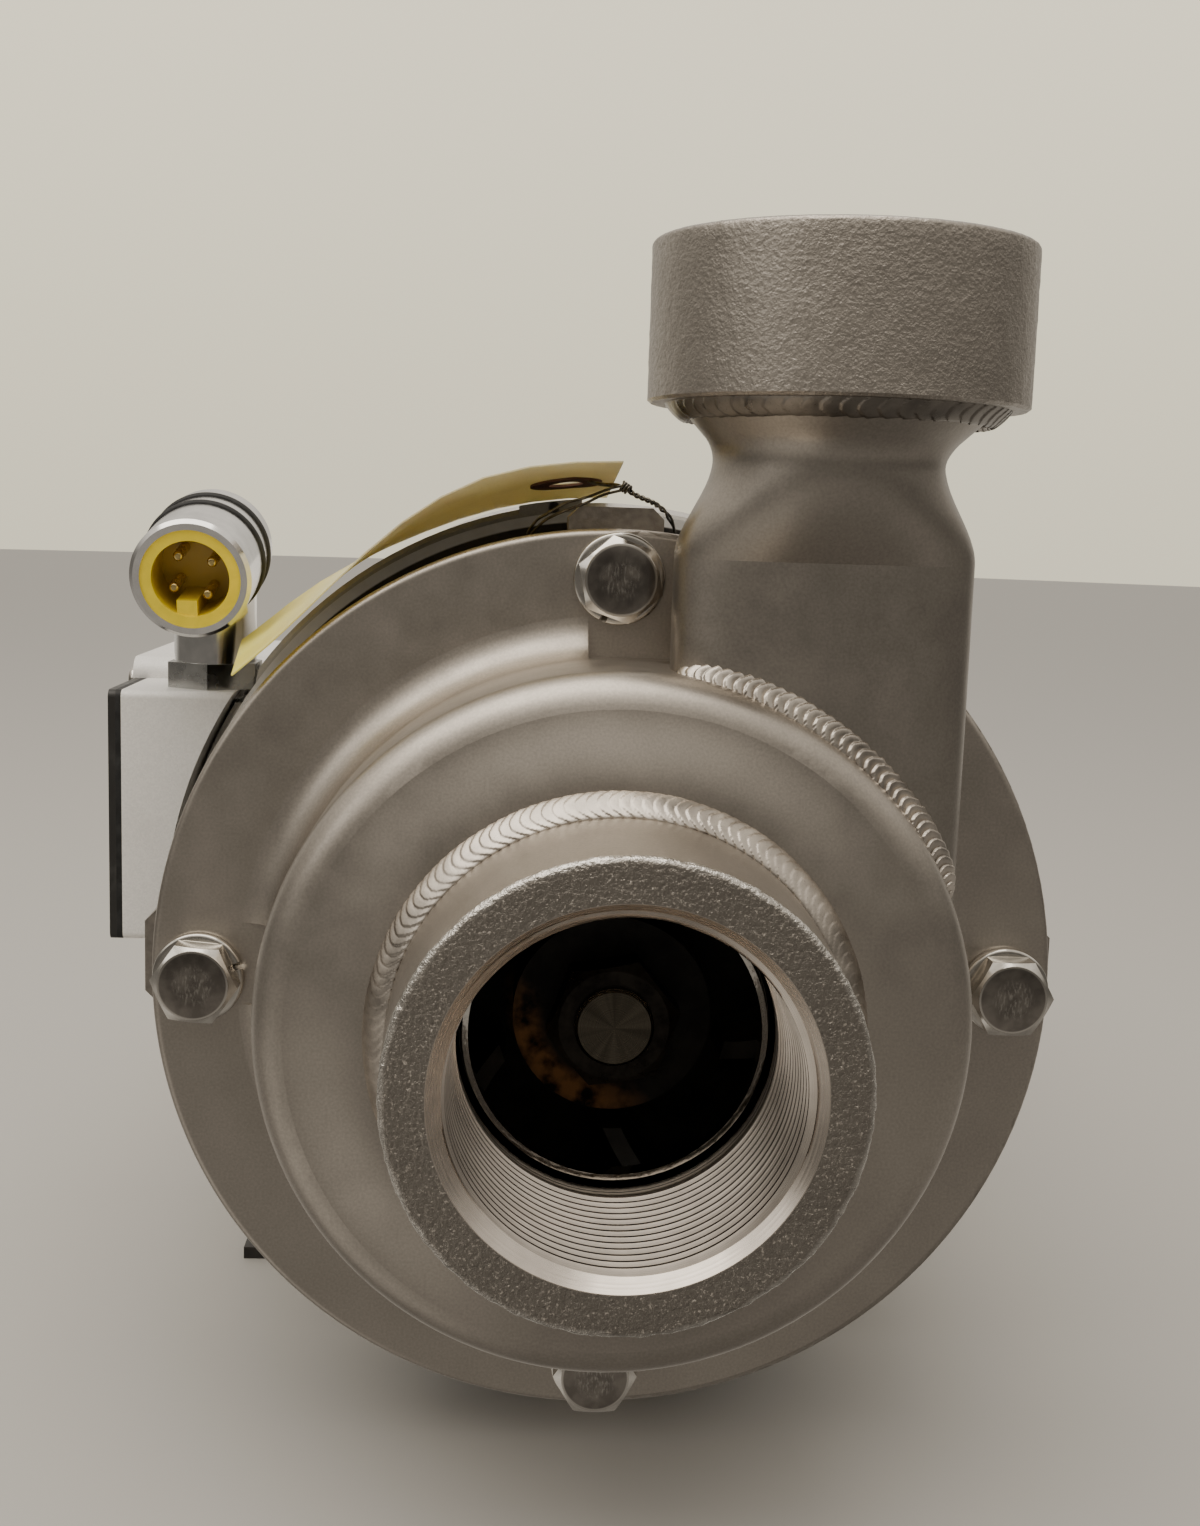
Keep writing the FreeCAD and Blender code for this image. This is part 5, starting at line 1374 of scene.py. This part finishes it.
dress(plated("nickel_plate", (0.93, 0.925, 0.905), (0.13, 0.2)), "connector_body")
dress(plated("nut_plate", (0.50, 0.50, 0.485), (0.2, 0.34)), "connector_nut")
dress(plated("pin_plate", (0.72, 0.56, 0.24), (0.2, 0.32)), "connector_pins")
dress(moulded("yellow_moulding", (0.98, 0.78, 0.03), 0.2, (0.28, 0.4), (0.52, 0.36, 0.03)), "connector_insert")
dress(moulded("fan_moulding", (0.03, 0.03, 0.032), 0.0, (0.4, 0.55)), "cooling_fan")
black_rubber = rubber("black_rubber")
dress(black_rubber, "junction_gasket", "seal_bellows", "shaft_slinger", "seal_cup")
dress(rubber("fibre_gasket", (0.05, 0.042, 0.034)), "casing_gasket")

# %% [markdown]
# The two rubber rings are half round outside, and flat where they sit in their grooves in the barrel.

# %% O rings
GROOVES_Y = (16.6, 24.1)
GROOVE_RADIUS = CONNECTOR_RADIUS - 1.35
RING_BULGE = 0.6
RING_HALF_WIDTH = 1.0
rings = bmesh.new()
for y in GROOVES_Y:
    profile = [(CONNECTOR_RADIUS + RING_BULGE * out, y + RING_HALF_WIDTH * along)
               for out, along in arc_points((0, 0), 1.0, -90, 90, 12)]
    profile += [(GROOVE_RADIUS, y + RING_HALF_WIDTH), (GROOVE_RADIUS, y - RING_HALF_WIDTH)]
    rings.from_mesh(lathe_skin("o_ring", profile, INTO_CONNECTOR, 96, black_rubber))
ring_mesh = bpy.data.meshes.new("barrel_rings")
rings.to_mesh(ring_mesh)
rings.free()
ring_mesh.materials.append(black_rubber)
tidy_mesh(ring_mesh)
add_piece("barrel_rings", ring_mesh, stands_for=["connector_o_rings"])

# %% [markdown]
# ## What the motor and the seal hide
# The pieces inside are seen when the pump is taken apart, so each has its own finish too: stacked sheet
# steel, enamelled copper, ground bearing races, pressed cages, lapped ceramic and carbon.

# %% Inner finishes
SHEET_THICKNESS = 0.5


def laminations(name):
    steel = Finish(name, metallic=0.9)
    y = steel.coordinates()[1]
    sheets = steel.maths("FRACT", y / SHEET_THICKNESS)
    edge = steel.spread(abs(sheets - 0.5), 0.38, 0.5)
    stain = steel.noise(8, detail=5)
    tone = steel.clouded(stain, 0.4, 0.7, (0.20, 0.20, 0.21), (0.15, 0.12, 0.10))
    steel.colour(steel.blend(edge, tone, (0.05, 0.05, 0.05)))
    steel.rough_by(stain, 0.4, 0.55)
    steel.bump(edge, 0.05, -0.5)
    return steel.material


def copper_windings(name):
    copper = Finish(name, metallic=0.8, coat=0.6, coat_roughness=0.12)
    strands = copper.noise(0.9, detail=2, vector=copper.about(scale=(1, 0.06, 1)))
    age = copper.noise(7, detail=4)
    tone = copper.clouded(age, 0.35, 0.65, (0.42, 0.15, 0.05), (0.62, 0.25, 0.09))
    copper.colour(copper.blend(copper.spread(strands, 0.42, 0.52, 0.0, 1.0), (0.18, 0.06, 0.025), tone))
    copper.rough_by(age, 0.25, 0.4)
    copper.bump(strands, 0.4, 0.6)
    return copper.material


def lapped(name, tone, coat):
    finish = Finish(name, coat=coat)
    rings = finish.rings(finish.radius(), 0.6)
    cloud = finish.noise(2.5, detail=4)
    finish.colour(finish.clouded(cloud, 0.35, 0.65, tinted(0.88, tone), tone))
    finish.rough_by(rings, 0.14, 0.26)
    finish.bump(rings, 0.004, 0.4)
    return finish.material


dress(laminations("stacked_sheets"), "rotor_core", "stator_core")
dress(copper_windings("enamelled_copper"), "stator_windings")
dress(lapped("lapped_ceramic", (0.80, 0.77, 0.69), 0.4), "seal_seat")
dress(lapped("lapped_carbon", (0.025, 0.025, 0.028), 0.0), "seal_face")
dress(turned_steel("ground_steel", (0.64, 0.63, 0.61), 0.3, (0.08, 0.18)), "front_bearing_balls",
      "front_bearing_inner_race", "front_bearing_outer_race", "rear_bearing_balls", "rear_bearing_inner_race",
      "rear_bearing_outer_race")
dress(plated("pressed_cage", (0.60, 0.52, 0.36), (0.25, 0.4)), "front_bearing_cage", "rear_bearing_cage")

# %% [markdown]
# ## Tag, eyelet and wire
# A manila card hangs on a twisted wire. Card is pressed from fibre, so it has a fine fleck and soft clouds, and it
# lets a little light through. Where it lies over the motor its yellow is painted olive, partly the card's own tone and
# partly painted shade.

# %% Card and wire finishes
YELLOW_BEFORE_X = -72.0
OLIVE_SHADE_FROM_X = -46.0


def manila_card(name):
    card = Finish(name, specular=0.3)
    cloud = card.noise(16, detail=4)
    fleck = card.noise(0.5, detail=3, vector=card.about(scale=(1, 0.35, 1)))
    x = card.coordinates()[0]
    # The olive tone over the motor is partly the card's own colour and partly painted shade; the yellow towards the
    # left end is the card's own colour.
    olive_with_painted_shade = card.clouded(cloud, 0.35, 0.65, (0.66, 0.59, 0.39), (0.77, 0.70, 0.48))
    fresh = card.clouded(cloud, 0.35, 0.65, (0.90, 0.70, 0.10), (0.97, 0.78, 0.16))
    tone = card.blend(card.spread(x, YELLOW_BEFORE_X, OLIVE_SHADE_FROM_X, 1.0, 0.0), olive_with_painted_shade, fresh)
    card.colour(card.blend(card.spread(fleck, 0.55, 0.75, 0.0, 0.4), tone, (0.54, 0.46, 0.25)))
    card.feeds(card.shader, Subsurface_Weight=0.8, Subsurface_Radius=(1.0, 0.9, 0.7), Subsurface_Scale=1.0 * MM)
    card.rough_by(cloud, 0.5, 0.65)
    card.bump(fleck, 0.05, 0.3)
    return card.material


fibre_patch = mottled("fibre_patch", (0.10, 0.045, 0.028), (0.18, 0.085, 0.05), (0.5, 0.7), 2.2, 0.05, specular=0.3)
dress(manila_card("manila_card"), "hang_tag")
dress(fibre_patch, "tag_eyelet")
wire_steel = mottled("soft_wire", (0.11, 0.10, 0.085), (0.30, 0.28, 0.24), (0.3, 0.45), 2.5, 0.03, (0.4, 0.65),
                     metallic=1.0)

# %% [markdown]
# The wire is doubled: both strands go through the eyelet, part on the left, run behind the lug and come
# back twisted together, and a short coil ties them off. One recipe makes a strand. It bends a path into a
# smooth curve, moves it off the middle by the twist that each point asks for, and gives it a round section.

# %% Strand recipe


def wire_strand():
    recipe = Recipe("wire_strand")
    radius, phase, step = recipe.take("Wire radius", "Phase", "Step length")
    line = recipe.made("GeometryNodeMeshToCurve", Mesh=recipe.inputs.outputs[0])
    smooth = recipe.made("GeometryNodeCurveSplineType", {"spline_type": "CATMULL_ROM"}, Curve=line)
    fine = recipe.made("GeometryNodeResampleCurve", {"mode": "LENGTH"}, Curve=smooth, Length=step)
    angle = recipe.attribute("twist") + phase
    apart = recipe.attribute("apart")
    normal = recipe.made("GeometryNodeInputNormal")
    sideways = recipe.vectors("CROSS_PRODUCT", recipe.made("GeometryNodeInputTangent"), normal)
    offset = recipe.vectors("ADD", recipe.scaled(normal, apart * recipe.cosine(angle)),
                            recipe.scaled(sideways, apart * recipe.sine(angle)))
    moved = recipe.made("GeometryNodeSetPosition", Geometry=fine, Offset=offset)
    section = recipe.made("GeometryNodeCurvePrimitiveCircle", Resolution=10, Radius=radius)
    recipe.finish(recipe.made("GeometryNodeCurveToMesh", Curve=moved, Profile_Curve=section, Fill_Caps=True))
    return recipe


def strand_path(name, points):
    """Each point is (x, y, z, turns of twist, distance from the middle), in millimetres about the axis."""
    edges = [(i, i + 1) for i in range(len(points) - 1)]
    return host_mesh(name, [place(*point[:3]) for point in points], edges,
                     twist=[2 * math.pi * point[3] for point in points], apart=[point[4] * MM for point in points])


# %% The tag's wire
FROM_EYELET = [(-8.6, 25.0, 99.6, 0, 0.34), (-8.2, 24.8, 97.6, 0, 0.34), (-6.2, 23.0, 96.6, 0, 0.34),
               (-4.2, 20.0, 95.9, 0, 0.3), (-2.2, 17.0, 95.6, 0, 0.3), (0.1, 13.5, 95.5, 0, 0.28),
               (1.3, 12.1, 95.1, 0.2, 0.27)]
RIGHT_LEG = [(2.2, 11.8, 94.4, 0.6, 0.29), (3.6, 11.5, 93.6, 1.25, 0.29), (6.2, 11.5, 92.6, 2.5, 0.29),
             (7.8, 12.4, 91.8, 3.4, 0.29), (9.6, 14.0, 90.4, 4.1, 0.29), (11.1, 17.5, 88.6, 4.5, 0.31),
             (12.0, 21.0, 86.4, 4.7, 0.34), (11.6, 26.0, 84.9, 4.8, 0.34)]
BEHIND = [(8.0, 29.2, 84.5, 4.8, 0.34), (0.0, 29.6, 84.5, 4.8, 0.34), (-9.0, 29.4, 84.5, 4.8, 0.34),
          (-15.0, 26.0, 84.6, 4.8, 0.34)]
UPPER = [(-17.2, 19.0, 85.4, 5, 0.0), (-15.7, 16.0, 88.1, 5, 0.0), (-13.6, 13.0, 89.6, 5, 0.0),
         (-9.9, 11.2, 91.8, 5, 0.0), (-6.3, 11.0, 92.9, 5, 0.0), (-1.9, 11.5, 94.7, 5, 0.0), (0.7, 12.0, 95.4, 5, 0.2)]
LOWER = [(-16.9, 19.6, 84.9, 5, 0.0), (-14.3, 15.0, 88.0, 5, 0.0), (-12.3, 12.5, 89.3, 5, 0.0),
         (-9.5, 11.0, 90.6, 5, 0.0), (-6.2, 10.7, 91.9, 5, 0.0), (-3.0, 11.1, 93.5, 5, 0.0), (0.6, 11.9, 94.5, 5, 0.2)]
COIL_CENTRE = Vector((1.4, 12.0, 95.0))
COIL_RADIUS = 0.82
COIL_PITCH = 0.56
COIL_BACK = 0.95
COIL_POINTS = 41
COIL_POINTS_IN_A_TURN = 12
WIRE_RADIUS = 0.27
coil_heading = Vector((2.6, -0.6, -1.7)).normalized()
coil_side = coil_heading.cross(Vector((0, 1, 0))).normalized()
coil_up = coil_side.cross(coil_heading)
COIL = []
for i in range(COIL_POINTS):
    angle = 2 * math.pi * i / COIL_POINTS_IN_A_TURN
    centre = COIL_CENTRE + coil_heading * (COIL_PITCH * i / COIL_POINTS_IN_A_TURN - COIL_BACK)
    spot = centre + (coil_side * math.cos(angle) + coil_up * math.sin(angle)) * COIL_RADIUS
    COIL.append((*spot, 0, 0.0))
strand_recipe = wire_strand()
wire_mesh = bmesh.new()
for name, phase, points in (("first_strand", 0.0, FROM_EYELET + RIGHT_LEG + BEHIND + UPPER),
                            ("second_strand", math.pi, FROM_EYELET + RIGHT_LEG + BEHIND + LOWER),
                            ("coil", 0.0, COIL)):
    values = {"Wire radius": WIRE_RADIUS * MM, "Phase": phase, "Step length": 0.11 * MM, "Finish": wire_steel}
    strand = cook(name, strand_recipe, values, strand_path(name + "_line", points))
    print(name, len(strand.polygons), "faces")
    wire_mesh.from_mesh(strand)
twisted_wire = bpy.data.meshes.new("twisted_wire")
wire_mesh.to_mesh(twisted_wire)
wire_mesh.free()
twisted_wire.materials.append(wire_steel)
tidy_mesh(twisted_wire, 60)
add_piece("twisted_wire", twisted_wire, stands_for=["tag_wire"])

# %% [markdown]
# ## Hand over
# The sizes of the CAD and of the dressed pump are set side by side.

# %% Sizes
size = {"cad": [list(c) for c in cad_box], "visual": [list(c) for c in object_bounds()]}
